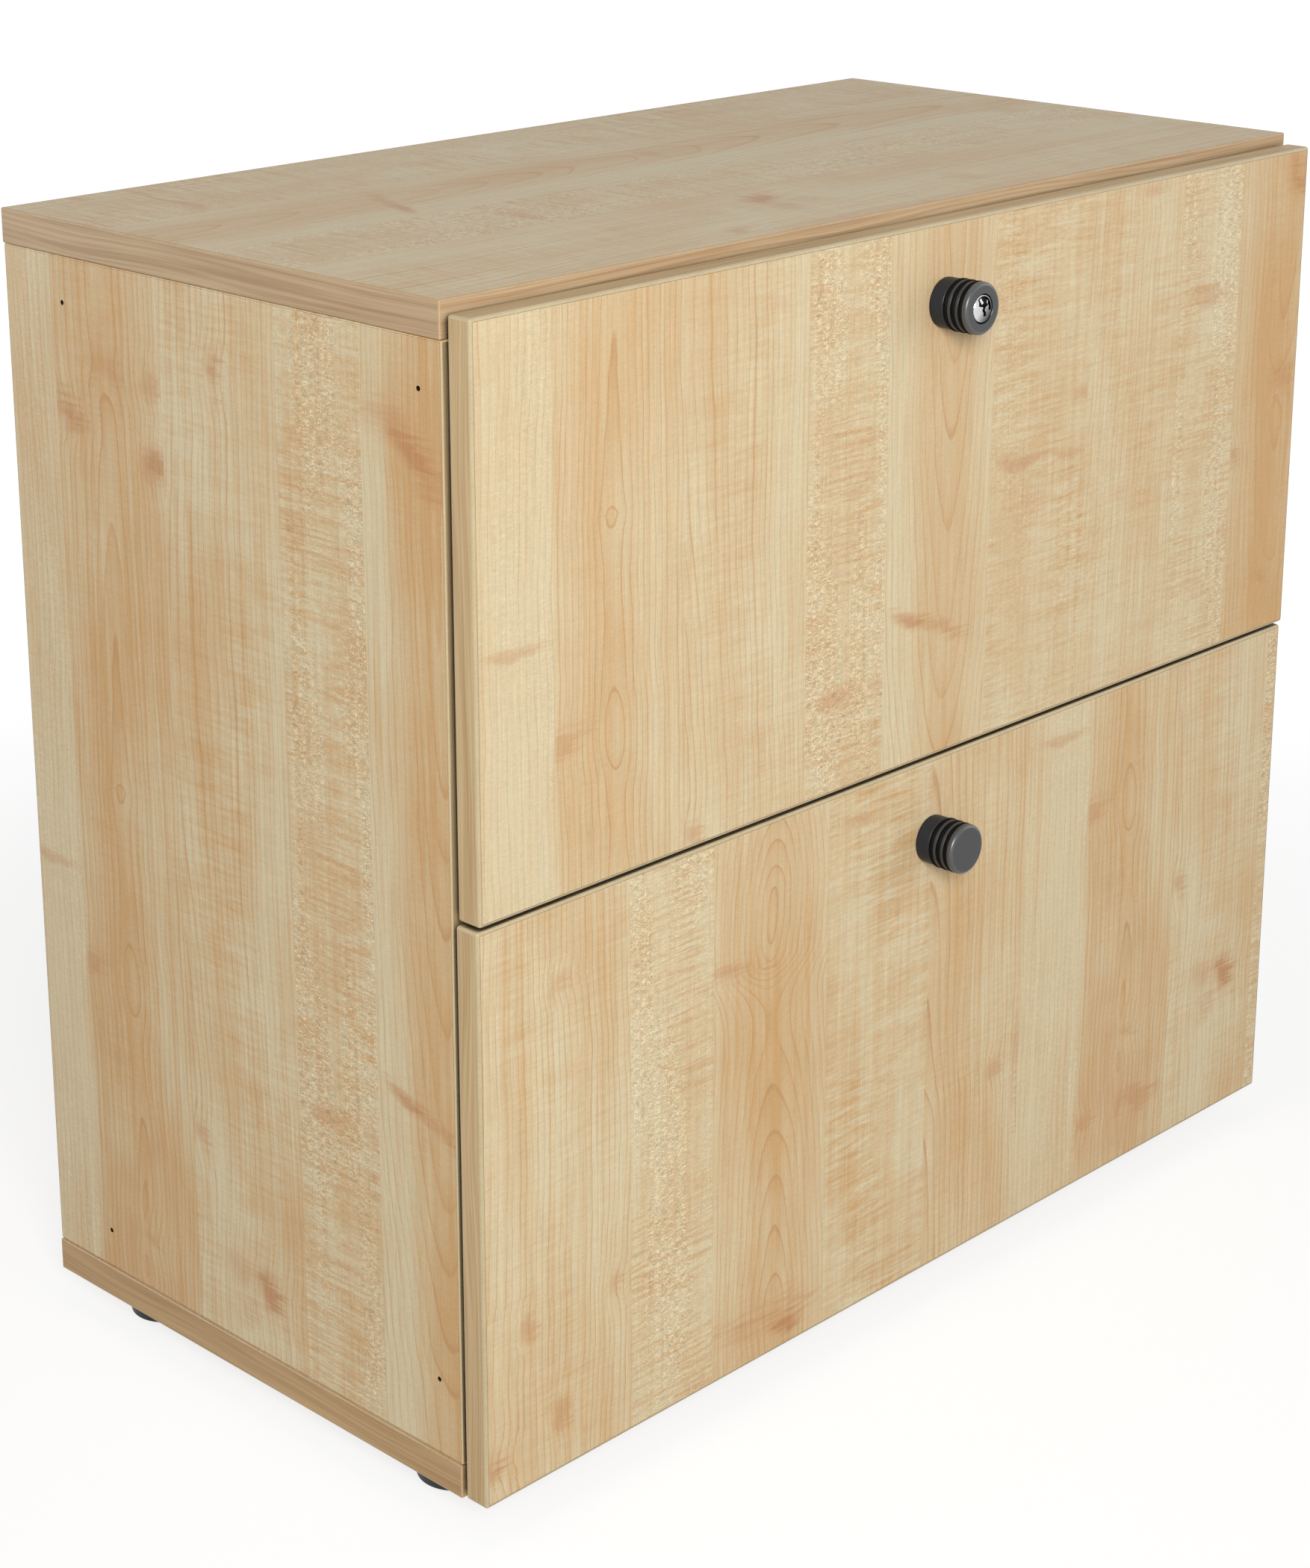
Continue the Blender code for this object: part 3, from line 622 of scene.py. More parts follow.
def polishedFace():
    # the lock's chrome with a painted reflection: bright at the upper left, darker with painted shade at the
    # lower right, with a turned face's rings
    material, tree, shader = newMaterial("lock face", metallic=1.0)
    low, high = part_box("lock_cylinder")
    out = vectorCalc("SUBTRACT", surfacePoint(tree), tuple((low + high) / 2))
    slant = vectorCalc("DOT_PRODUCT", out, polish["slant"])
    radius = vectorCalc("LENGTH", vectorCalc("MULTIPLY", out, (1.0, 0.0, 1.0)))
    ripples = calc("SINE", times(radius, polish["rings"]))
    paintedShade = timesPlus(ripples, polish["ringShade"], spread(slant, *polish["reflectionFade"]))
    color = blendColor(paintedShade, polish["bright"], polish["paintedShade"])
    roughness = spread(paintedShade, 0.0, 1.0, *polish["roughness"])
    dress(shader, color, ripples, polish["ringBump"], polish["bumpStrength"], roughness)
    return material


xAxis, yAxis, zAxis = (1.0, 0.0, 0.0), (0.0, 1.0, 0.0), (0.0, 0.0, 1.0)


def turned(axis):
    return tuple(-part for part in axis)


drawers = ("upper", "lower")
sides = (("left", -1.0), ("right", 1.0))

# light and dark colour, roughness, metallic, grain scale, bump height
bandCore = coat("band core", (209, 191, 152), (197, 177, 138), (0.38, 0.46), 0.0, 700.0, shadeInGaps=True)
carcassCore = coat(
    "carcass band core", (204, 176, 136), (188, 156, 116), (0.40, 0.48), 0.0, 700.0, shadeInGaps=True,
)
# raw chipboard colour, darkened into painted shade for the walls of the bored holes
holeCoreAndShade = coat("bored hole", (52, 38, 24), (30, 22, 14), (0.7, 0.85), specular=0.1)
glueLine = coat("glue line", (112, 92, 62), (92, 74, 48), (0.6, 0.7))
knobFace = coat(
    "knob face coat", (58, 59, 60), (53, 54, 55), (0.28, 0.33), 0.0, 2600.0, 0.00001, specular=0.48,
)
knobCoat = coat("knob coat", (58, 59, 61), (53, 54, 56), (0.31, 0.36), 0.0, 2600.0, 0.00001, specular=1.0)
knobLand = coat("knob land coat", (66, 67, 69), (60, 61, 63), (0.30, 0.36), 0.0, 2600.0, specular=0.25)
# the sleeve's base, its foot and its bore: copies of the knob's coat painted darker as shade near the drawer
# front and inside
knobBaseShade = coat("knob base shade coat", (48, 51, 56), (41, 44, 49), (0.36, 0.42), 0.0, 2600.0, specular=0.15)
knobFootShade = coat("knob foot shade", (26, 28, 34), (20, 22, 27), (0.45, 0.55), 0.0, 2600.0, specular=0.15)
rubber = coat("ring rubber", (10, 10, 11), (6, 6, 7), (0.55, 0.66), specular=0.08)
chrome = coat("lock chrome", (226, 226, 226), (214, 214, 216), (0.10, 0.18), 1.0, 900.0, 0.00001)
# painted shade: near-black for the walls of the keyway, the lock's pockets and the screws' cross recesses
recessShade = coat("recess painted shade", (16, 16, 17), (9, 9, 10), (0.5, 0.65), specular=0.1)
lockFace = polishedFace()
zinc = coat("zinc steel", (196, 199, 203), (168, 172, 178), (0.26, 0.42), 1.0, 500.0, 0.00002)
framePaint = coat("frame paint", (158, 161, 164), (148, 151, 154), (0.42, 0.52), 0.0, 1800.0, 0.00004)
footPlastic = coat("foot plastic", (30, 30, 31), (22, 22, 23), (0.42, 0.55), 0.0, 1200.0, 0.00005)
# a piece's materials and its slot
zincLook = [zinc], "zinc_steel"
screwLook = [zinc, recessShade], "zinc_steel"
paintLook = [framePaint], "frame_paint"
print("materials: maple sheet of", len(planks), "planks and", len(knots), "knots")


# Mesh helpers

def placed(name, data):
    thing = bpy.data.objects.new(name, data)
    bpy.context.scene.collection.objects.link(thing)
    return thing


def finishMesh(shape, name):
    mesh = bpy.data.meshes.new(name)
    bmesh.ops.recalc_face_normals(shape, faces=shape.faces)
    shape.to_mesh(mesh)
    shape.free()
    return mesh


def soften(piece, sharpAngle=38):
    piece.data.shade_smooth()
    piece.data.set_sharp_from_angle(angle=math.radians(sharpAngle))
    normals = piece.modifiers.new("flat faces", "WEIGHTED_NORMAL")
    normals.weight = 100
    normals.keep_sharp = True


def makePiece(name, shape, look, *nodes, body=None, sharpAngle=38):
    # a piece rides with the node that it replaces, unless a body is named
    materials, slot = look
    piece = placed(name, finishMesh(shape, name))
    for material in materials:
        piece.data.materials.append(material)
    soften(piece, sharpAngle)
    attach(piece, body or bodies[nodes[0]])
    if nodes:
        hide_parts(*nodes)
    return piece


def merged(shapes):
    whole = bmesh.new()
    for shape in shapes:
        mesh = finishMesh(shape, "part")
        whole.from_mesh(mesh)
        bpy.data.meshes.remove(mesh)
    return whole


def boardShape(low, high, rounding, faceAxis, seam=0.0, segments=4, buttAxis=None):
    # Material places: 0 the two wide faces, 1 the flats of the edges, 2 their roundings, 3 the seam line.
    # Edges across buttAxis stand against another board and have no band.
    shape = bmesh.new()
    bmesh.ops.create_cube(shape, size=1.0)
    bmesh.ops.scale(shape, vec=high - low, verts=shape.verts)
    bmesh.ops.translate(shape, vec=(low + high) / 2, verts=shape.verts)
    edges = list(shape.edges)
    bmesh.ops.bevel(shape, geom=edges, offset=rounding, segments=segments, profile=0.5, affect="EDGES")
    wide = []
    cornerArea = rounding * rounding * 4  # the faces of a rounded corner are all smaller
    for face in shape.faces:
        strongest = max(range(3), key=lambda k: abs(face.normal[k]))
        flat = abs(face.normal[strongest]) > 0.9999 and face.calc_area() > cornerArea
        face.material_index = 2 if not flat else (0 if strongest == faceAxis else 1)
        if buttAxis is not None and abs(face.normal[buttAxis]) > 0.1:
            face.material_index = 0
        if flat and strongest == faceAxis:
            wide.append(face)
    for face in wide if seam else []:
        for strip in bmesh.ops.inset_individual(shape, faces=[face], thickness=seam, depth=0.0)["faces"]:
            if strip is not face:
                strip.material_index = 3
    return shape


def loft(loops, closed, materialOf=None):
    # skins loops of points one after another; a loop of one point is a tip
    shape = bmesh.new()
    rows = [[shape.verts.new(point) for point in loop] for loop in loops]
    pairs = list(zip(rows, rows[1:]))
    if closed:
        pairs.append((rows[-1], rows[0]))
    steps = max(len(row) for row in rows)
    for number, (first, second) in enumerate(pairs):
        for i in range(steps):
            j = i + 1
            corners = []
            for row, k in ((first, i), (first, j), (second, j), (second, i)):
                vert = row[k % len(row)]
                if vert not in corners:
                    corners.append(vert)
            if len(corners) > 2:
                face = shape.faces.new(corners)
                if materialOf:
                    face.material_index = materialOf(number)
    return shape


# how many sides a turned piece has
turnSides = {
    "knob": 128, "plug": 96, "barrel": 64, "nut": 96, "camBore": 48, "screw": 32, "foot": 180, "sleeve": 48,
    "bored": 20,
}


def lathe(profile, place, axis, steps=96, materialOf=None, radiusAt=None):
    # The profile holds (radius, height) points; one that starts off the axis closes on itself.
    turn = Vector(axis).to_track_quat("Z", "Y").to_matrix()
    loops = []
    for radius, height in profile:
        loop = []
        for i in range(steps if radius else 1):
            angle = 2 * math.pi * i / steps
            out = radiusAt(radius, height, angle) if radiusAt else radius
            loop.append(Vector(place) + turn @ Vector((out * math.cos(angle), out * math.sin(angle), height)))
        loops.append(loop)
    return loft(loops, profile[0][0] > 0, materialOf)


def rodShape(place, axis, radius, low, high, steps=32):
    return lathe([(0, low), (radius, low), (radius, high), (0, high)], place, axis, steps)


def arcPoints(centre, radius, startDegrees, endDegrees, count):
    points = []
    for i in range(count + 1):
        angle = math.radians(startDegrees + (endDegrees - startDegrees) * i / count)
        points.append((centre[0] + radius * math.cos(angle), centre[1] + radius * math.sin(angle)))
    return points


def roundOutline(radius, centre=(0.0, 0.0)):
    return arcPoints(centre, radius, 0, 345, 23)


def slotOutline(length, width, steps=8):
    # a slot with round ends, long in the first direction
    half, radius = (length - width) / 2, width / 2
    return arcPoints((half, 0.0), radius, -90, 90, steps) + arcPoints((-half, 0.0), radius, 90, 270, steps)


def prism(outline, span, across, up, run, origin=(0.0, 0.0, 0.0)):
    # an outline on the across and up directions, drawn out along run from span[0] to span[1]
    across, up, run, origin = (Vector(part) for part in (across, up, run, origin))
    shape = loft([[origin + across * x + up * y + run * t for x, y in outline] for t in span], False)
    verts = list(shape.verts)
    shape.faces.new(verts[:len(outline)])
    shape.faces.new(verts[len(outline):])
    return shape


def folded(path, gauge, bend, span, across, up, run, steps=5):
    # bent sheet metal whose middle line follows the path, rounded at each bend
    spots = [Vector(point) for point in path]
    left, right = [], []
    for i, spot in enumerate(spots):
        if i in (0, len(spots) - 1):
            line = (spots[1] - spot) if i == 0 else (spot - spots[-2])
            side = Vector((-line.y, line.x)).normalized() * gauge / 2
            left.append(spot + side)
            right.append(spot - side)
            continue
        before = (spot - spots[i - 1]).normalized()
        after = (spots[i + 1] - spot).normalized()
        angle = before.angle(after)
        way = 1.0 if before.x * after.y - before.y * after.x > 0 else -1.0
        inward = Vector((-before.y, before.x)) * way
        centre = spot - before * bend * math.tan(angle / 2) + inward * bend
        for j in range(steps + 1):
            turnedInward = Matrix.Rotation(way * angle * j / steps, 2) @ inward
            left.append(centre - turnedInward * (bend - way * gauge / 2))
            right.append(centre - turnedInward * (bend + way * gauge / 2))
    return prism([tuple(point) for point in left + right[::-1]], span, across, up, run)


def channelPath(end, web, low, high, gauge):
    # a channel's middle line from its lower lip over the web to the upper one
    bottom, top = low.z + gauge / 2, high.z - gauge / 2
    return [(end, bottom), (web, bottom), (web, top), (end, top)]


def cutAway(piece, cutters, materialPlace=0):
    shape = merged(cutters)
    for face in shape.faces:
        face.material_index = materialPlace
    cutter = placed(piece.name + "_cutter", finishMesh(shape, "cutter"))
    for material in piece.data.materials:
        cutter.data.materials.append(material)
    piece.modifiers.clear()
    cut = piece.modifiers.new("cut", "BOOLEAN")
    cut.object = cutter
    cut.operation = "DIFFERENCE"
    mesh = bpy.data.meshes.new_from_object(piece.evaluated_get(bpy.context.evaluated_depsgraph_get()))
    piece.modifiers.clear()
    piece.data = mesh
    bpy.data.objects.remove(cutter)
    soften(piece)


def copies(template, spots):
    # the template, standing on +Z, set at each (place, axis)
    shape = bmesh.new()
    for place, axis in spots:
        part = template.copy()
        part.transform(Matrix.Translation(place) @ Vector(axis).to_track_quat("Z", "Y").to_matrix().to_4x4())
        shape.from_mesh(part)
        bpy.data.meshes.remove(part)
    return shape


def sized(values):
    # a dictionary of millimetres in metres
    return {name: value * mm for name, value in values.items()}


def sideBox(node, sign):
    # a node's box, with its x towards the cabinet's side and its x towards the middle
    low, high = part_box(node)
    outer, inner = (low.x, high.x) if sign < 0 else (high.x, low.x)
    return low, high, outer, inner


# Drawer fronts, edge-banded boards. A corner says where the upper left one lies on the maple sheet.

fronts = {
    "upper": {"corner": (-60, 208), "tone": 1.0, "bore": 9.0},
    "lower": {"corner": (-571, 377.5), "tone": 1.15, "bore": 2.4},
    "band": ((220, 192, 146), (190, 156, 110)),
    "bandWidth": 2.0,
    "seam": 0.3,
    "boreSpan": (-10, 40),
}


def knobPlace(drawer):
    # the knob's middle on the face of its front
    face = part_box(drawer + "_front")[0].y
    low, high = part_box(drawer + "_knob")
    return (low.x + high.x) / 2, face, (low.z + high.z) / 2


def makeFronts():
    start, end = [distance * mm for distance in fronts["boreSpan"]]
    for drawer in drawers:
        low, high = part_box(drawer + "_front")
        setting = fronts[drawer]
        across, along = [distance * mm for distance in setting["corner"]]
        name, tone = drawer + " front maple", setting["tone"]
        decor = mapleMaterial(name, xAxis, across - low.x, turned(zAxis), along + high.z, tone)
        flat = bandMaterial(drawer + " front band", yAxis, (1.0, 0.0, 1.0), *fronts["band"])
        shape = boardShape(low, high, fronts["bandWidth"] * mm, 1, fronts["seam"] * mm, 5)
        look = [decor, flat, bandCore, glueLine], "maple_front"
        board = makePiece(drawer + "_front_board", shape, look, drawer + "_front")
        cutAway(board, [rodShape(knobPlace(drawer), yAxis, setting["bore"] * mm, start, end)], 1)


# Carcass boards. Shifts say where a board lies on the sheet, across and along.

carcass = {
    "top": {"shift": (92, 290), "band": ((208, 180, 142), (174, 140, 102))},
    "bottom": {"shift": (-320, 40), "band": ((206, 172, 126), (176, 138, 92))},
    "left": -47,
    "right": 180,
    "sideBand": ((200, 176, 136), (172, 142, 100)),
    "sideTone": 1.4,
    "backShift": (105, 120),
    "backTone": 0.9,
    "panelRounding": 1.1,
    "sideRounding": 1.0,
    "backRounding": 0.4,
    "seam": 0.2,
    "holeRadius": 1.6,
    "holeDepth": 11,
    "holes": [(19, 29, 0), (342, 29, 0), (19, 0, 50), (342, 0, 27)],  # setback, drop or else rise
}


def makeCarcass():
    seam = carcass["seam"] * mm
    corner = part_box("top_panel")[0]
    for end in ("top", "bottom"):
        name = end + "_panel"
        low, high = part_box(name)
        across, along = [distance * mm for distance in carcass[end]["shift"]]
        decor = mapleMaterial(end + " maple", yAxis, across - corner.y, xAxis, along - corner.x)
        flat = bandMaterial(end + " edge band", zAxis, (1.0, 1.0, 0.0), *carcass[end]["band"])
        shape = boardShape(low, high, carcass["panelRounding"] * mm, 2, seam)
        makePiece(name + "_board", shape, ([decor, flat, carcassCore, glueLine], "maple_board"), name)

    radius, depth = carcass["holeRadius"] * mm, carcass["holeDepth"] * mm
    for side, sign in sides:
        name = side + "_side_panel"
        low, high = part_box(name)
        way, edge, outer = (turned(yAxis), high.y, low.x) if sign < 0 else (yAxis, -low.y, high.x)
        across, tone = edge + carcass[side] * mm, carcass["sideTone"]
        decor = mapleMaterial(side + " side maple", way, across, turned(zAxis), high.z, tone)
        flat = bandMaterial(side + " side band", xAxis, zAxis, *carcass["sideBand"])
        shape = boardShape(low, high, carcass["sideRounding"] * mm, 0, seam, buttAxis=2)
        look = [decor, flat, bandCore, glueLine, holeCoreAndShade], "maple_board"
        board = makePiece(name + "_board", shape, look, name)
        holes = []
        for setback, drop, rise in carcass["holes"]:
            place = (outer, low.y + setback * mm, high.z - drop * mm if drop else low.z + rise * mm)
            holes.append(rodShape(place, (-sign, 0.0, 0.0), radius, -depth, depth, turnSides["bored"]))
        # the holes' walls take the chipboard colour with its painted shade
        cutAway(board, holes, 4)

    low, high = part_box("back_panel")
    across, along = [distance * mm for distance in carcass["backShift"]]
    tone = carcass["backTone"]
    decor = mapleMaterial("back maple", xAxis, across - low.x, turned(zAxis), along + high.z, tone)
    shape = boardShape(low, high, carcass["backRounding"] * mm, 1, 0.0, 2)
    makePiece("back_board", shape, ([decor, carcassCore, carcassCore], "back_board"), "back_panel")


# Knobs: a turned sleeve with a round-edged head and three rubber rings in its grooves

knob = sized({
    "length": 30, "sleeveRadius": 16, "headRadius": 16.5, "headRounding": 2.1, "standoff": 0.3,
    "footHeight": 1.0, "footCut": 0.25, "footEdge": 0.05, "footRound": 0.2,
    "ringFirst": 12.6, "ringSpacing": 5.85, "ringSection": 1.5, "ringHalfWidth": 1.75, "ringProud": 0.7,
    "ringRoom": 0.08, "grooveEdge": 0.2,
    "boreRadius": 9.45, "boreChamfer": 0.3, "screwBore": 2.3, "screwBoreDepth": 11.3,
})
headSteps = 10
ringHeights = [knob["ringFirst"] + knob["ringSpacing"] * i for i in range(3)]


def knobOutside():
    # from the face down the outer side to the foot
    half = knob["ringHalfWidth"] + knob["ringRoom"]
    grooveFloor = knob["sleeveRadius"] + knob["ringProud"] - knob["ringSection"] - half
    rounding, edge, radius = knob["headRounding"], knob["grooveEdge"], knob["headRadius"]
    profile = arcPoints((radius - rounding, knob["length"] - rounding), rounding, 90, 0, headSteps)
    for height in reversed(ringHeights):
        top, bottom = height + half, height - half
        profile += [(radius, top + edge), (radius - edge, top), (grooveFloor, top)]
        radius = knob["sleeveRadius"]
        profile += [(grooveFloor, bottom), (radius - edge, bottom), (radius, bottom - edge)]
    start = knob["standoff"]
    foot, cut = start + knob["footHeight"], knob["footCut"]
    profile += [(radius, foot), (radius - cut, foot - knob["footEdge"])]
    return profile + [(radius - cut, start + knob["footRound"]), (radius - cut * 2, start)]


def makeKnobs():
    length, start = knob["length"], knob["standoff"]
    for drawer in drawers:
        place = knobPlace(drawer)
        outside = knobOutside()
        if drawer == "upper":
            bore, chamfer = knob["boreRadius"], knob["boreChamfer"]
            profile = [(bore, length - chamfer), (bore + chamfer, length)] + outside + [(bore, start)]
        else:
            bore, depth = knob["screwBore"], start + knob["screwBoreDepth"]
            profile = [(0, length)] + outside + [(bore, start), (bore, depth), (0, depth)]
        headStart = profile.index(outside[0])
        headEnd = headStart + headSteps + 2
        footStart = profile.index(outside[-4])  # the foot is the outline's last four points

        def paintOf(row):
            # 0 the head, 1 the lands between the rings, 2 the base, darker as painted shade near the front, 3
            # its foot and the bore, near-black as painted shade, 4 the face
            if row < headEnd:
                return 4 if row < headStart else 0
            return 1 if row < footStart - 1 else 2 if row < footStart else 3

        shape = lathe(profile, place, turned(yAxis), turnSides["knob"], paintOf)
        look = [knobCoat, knobLand, knobBaseShade, knobFootShade, knobFace], "knob_coat"
        makePiece(drawer + "_knob_turning", shape, look, drawer + "_knob")
        section = knob["ringSection"]
        widen = knob["ringHalfWidth"] / section
        for i, height in enumerate(ringHeights):
            centre = (knob["sleeveRadius"] + knob["ringProud"] - section, height)
            outline = [(out, height + (up - height) * widen) for out, up in roundOutline(section, centre)]
            ring = lathe(outline, place, turned(yAxis), turnSides["knob"])
            name = f"{drawer}_rubber_ring_{i + 1}"
            makePiece(name, ring, ([rubber], "ring_rubber"), f"{drawer}_knob_ring_{i + 1}")


# Cam lock in the upper knob

lock = sized({
    "faceRadius": 8.7, "faceTop": 29.7, "faceBack": 27.0, "edge": 0.35, "coreRadius": 7.05, "tailRadius": 4.3,
    "boltBore": 2.1, "boltDepth": 7.3, "room": 0.1, "touch": 0.3, "overcut": 1.0,
    "housingRadius": 8.85, "threadRun": 6.0, "threadPitch": 1.0, "threadDepth": 0.3,
    "nutRadius": 14, "nutBore": 9.15, "nutEdge": 1.2, "nutBevel": 0.4,
    "keyWidth": 2.4, "keyDepth": 9.0, "pocketRadius": 6.9, "pocketWidth": 2.2, "pocketDepth": 1.6,
    "shutterDrop": 0.25, "camHub": 8.0, "camReach": 30, "camHalf": 4.0,
})
pocketSpan = (-6, 122)  # degrees, up from the right
# the dished face in millimetres: radius, and height above the rim
dish = [(0.0, -0.35), (4.345, -0.245), (7.9, -0.04), (8.0, 0.0)]
# the opening over the key's shutter, the shutter's two leaves and the stepped keyway's middle line, in
# millimetres across and up from the lock's centre
shutterOpening = [
    (-3.5, 1.7), (-3.8, 5.6), (-2.6, 6.9), (0.0, 7.2), (4.2, 6.0), (6.2, 3.4), (5.0, 1.6), (3.2, 0.6),
    (0.4, 0.9),
]
shutterLeaves = [
    [(-3.2, 5.9), (-1.7, 6.8), (0.9, 3.4), (-0.8, 2.6)],
    [(4.2, 4.9), (4.9, 4.7), (4.8, 2.6), (4.1, 2.9)],
]
keyLine = [(1.9, 1.6), (1.9, 0.3), (1.1, -0.9), (1.6, -2.0), (2.3, -2.7), (2.2, -5.0)]


def inMetres(points, shift=0.0, lift=0.0):
    return [(x * mm + shift, z * mm + lift) for x, z in points]


def pocketOutline():
    # a curved slot round the keyway, with round ends
    middle, half = lock["pocketRadius"], lock["pocketWidth"] / 2
    start, end = pocketSpan
    outline = []
    for radius, first, last in ((middle + half, start, end), (middle - half, end, start)):
        outline += arcPoints((0, 0), radius, first, last, 24)
        tip = (middle * math.cos(math.radians(last)), middle * math.sin(math.radians(last)))
        way = 0 if last == end else 180
        outline += arcPoints(tip, half, last + way, last + way + 180, 6)[1:-1]
    return outline


threadTurn = ((0.0, 0.3), (1.0, 0.5), (1.0, 0.7))  # shares of the depth and of the pitch


def threaded(radius, top, bottom, pitch, depth):
    # the outer side of a screw thread, as ridges
    points = [(radius, top)]
    for i in range(int((top - bottom) / pitch)):
        points += [(radius - depth * inward, top - (i + down) * pitch) for inward, down in threadTurn]
    return points + [(radius, bottom)]


def makeLock():
    place = knobPlace("upper")
    outward, face = turned(yAxis), place[1]

    def ends(node):
        # how far a node's front and back stand out from the face of the drawer front
        low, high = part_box(node)
        return face - low.y, face - high.y

    camFront, camBack = ends("lock_cam")
    top, edge, tail = lock["faceTop"], lock["edge"], lock["tailRadius"]
    core, shoulder = lock["coreRadius"], camFront + lock["touch"]
    bolt, boltEnd = lock["boltBore"], camBack + lock["boltDepth"]
    profile = inMetres(dish, lift=top)
    profile += [(lock["faceRadius"] - edge, top), (lock["faceRadius"], top - edge)]
    profile += [(lock["faceRadius"], lock["faceBack"]), (core, lock["faceBack"]), (core, shoulder)]
    profile += [(tail, shoulder), (tail, camBack), (bolt, camBack), (bolt, boltEnd), (0, boltEnd)]
    look = [lockFace, recessShade], "lock_chrome"
    shape = lathe(profile, place, outward, turnSides["plug"])
    cylinder = makePiece("lock_plug", shape, look, "lock_cylinder")
    half = lock["keyWidth"] / 2
    keyway = inMetres(keyLine, -half) + inMetres(keyLine, half)[::-1]
    cuts = ((keyway, "keyDepth"), (pocketOutline(), "pocketDepth"), (inMetres(shutterOpening), "pocketDepth"))
    # the cuts' walls are painted near-black as shade
    for outline, depth in cuts:
        cutAway(cylinder, [prism(outline, (top - lock[depth], top + edge), xAxis, zAxis, outward, place)], 1)
    span = (top - lock["pocketDepth"] - edge, top - lock["shutterDrop"])
    leaves = [prism(inMetres(leaf), span, xAxis, zAxis, outward, place) for leaf in shutterLeaves]
    makePiece("lock_shutter", merged(leaves), ([chrome], "lock_chrome"), body="lock")

    housingTop, housingBack = ends("lock_housing")
    nutFront, nutBack = ends("lock_nut")
    bore, radius = core + lock["room"], lock["housingRadius"]
    profile = [(bore, housingTop), (radius - edge, housingTop), (radius, housingTop - edge)]
    start, end = nutFront + lock["threadRun"], housingBack + edge
    profile += threaded(radius, start, end, lock["threadPitch"], lock["threadDepth"])
    profile += [(radius - edge, housingBack), (bore, housingBack)]
    shape = lathe(profile, place, outward, turnSides["barrel"])
    makePiece("lock_barrel", shape, zincLook, "lock_housing")

    # a six-sided nut: its corners are trimmed round, front and back
    nut, bore, bevel = lock["nutRadius"], lock["nutBore"], lock["nutBevel"]
    rim, flat, sixth = nut - lock["nutEdge"], nut * math.cos(math.pi / 6), math.pi / 3

    def hexagon(radius, height, angle):
        return min(radius, flat / math.cos((angle + sixth / 2) % sixth - sixth / 2))

    profile = [(bore, nutFront), (rim, nutFront), (nut, nutFront - bevel), (nut, nutBack + bevel)]
    profile += [(rim, nutBack), (bore, nutBack)]
    shape = lathe(profile, place, outward, turnSides["nut"], None, hexagon)
    makePiece("lock_hex_nut", shape, zincLook, "lock_nut", sharpAngle=20)

    # the cam's hub and arm, which point to the right at rest
    hub, half, over = lock["camHub"], lock["camHalf"], lock["overcut"]
    lean = math.degrees(math.asin(half / hub))
    outline = arcPoints((0, 0), hub, lean, 360 - lean, 40)
    outline += arcPoints((lock["camReach"] - half, 0), half, -90, 90, 16)
    shape = prism(outline, (camBack, camFront), xAxis, zAxis, outward, place)
    cam = makePiece("lock_cam_arm", shape, zincLook, "lock_cam")
    start, end = camBack - over, camFront + over
    cutAway(cam, [rodShape(place, outward, tail + lock["touch"], start, end, turnSides["camBore"])])

    low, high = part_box("lock_cam_screw")
    base = high.y - screws["camBolt"][1] * mm
    spot = (place[0], base, place[2])
    makeScrews("lock_cam_bolt", "camBolt", [(spot, yAxis)], "lock_cam_screw", length=base - low.y)


# Screws with a domed head and a cross recess: head radius, head height, shank radius and usual shank length

screws = {
    "camBolt": (6.0, 2.0, 1.8),
    "knob": (4.0, 2.5, 2.0),
    "slide": (3.6, 0.3, 1.8, 8),
    "frame": (4.2, 2.2, 2.0, 10),
    "strike": (3.0, 1.4, 1.5, 8),
}
screwShape = {
    "domeSteps": 6,
    "rim": 0.45,  # share of the head's height
    "pitch": 0.55,  # shares of the shank's radius
    "root": 0.78,
    "tip": 0.5,
    "crossReach": 0.55,  # shares of the head's radius
    "crossHalf": 0.13,
}


def screwTemplate(kind, length=None):
    # stands on z = 0, head up, shank down
    head, tall, shank = [size * mm for size in screws[kind][:3]]
    length = length or screws[kind][3] * mm
    steps, rim = screwShape["domeSteps"], screwShape["rim"]
    profile = []
    for i in range(steps + 1):
        angle = math.pi / 2 * i / steps
        profile.append((head * math.sin(angle), tall * (rim + (1 - rim) * math.cos(angle))))
    profile += [(head, 0.0), (shank, 0.0)]
    pitch = shank * screwShape["pitch"]
    for i in range(int(length / pitch)):
        profile += [(shank * screwShape["root"], -pitch * (i + 0.5)), (shank, -pitch * (i + 0.95))]
    profile += [(shank * screwShape["tip"], -length), (0.0, -length)]
    shape = lathe(profile, (0, 0, 0), zAxis, turnSides["screw"])
    template = placed("screw template", finishMesh(shape, "screw"))
    for material in screwLook[0]:
        template.data.materials.append(material)
    reach, half = head * screwShape["crossReach"], head * screwShape["crossHalf"]
    cross = []
    for x, y in ((1, 1), (1, -1), (-1, -1), (-1, 1)):
        corner = [(x * half, y * reach), (x * half, y * half), (x * reach, y * half)]
        cross += corner if x == y else corner[::-1]
    # the cross recess is painted near-black as shade
    cutAway(template, [prism(cross, (tall * rim, tall * 2), xAxis, yAxis, zAxis)], 1)
    mesh = template.data
    bpy.data.objects.remove(template)
    return mesh


def makeScrews(name, kind, spots, *nodes, body=None, length=None):
    makePiece(name, copies(screwTemplate(kind, length), spots), screwLook, *nodes, body=body)


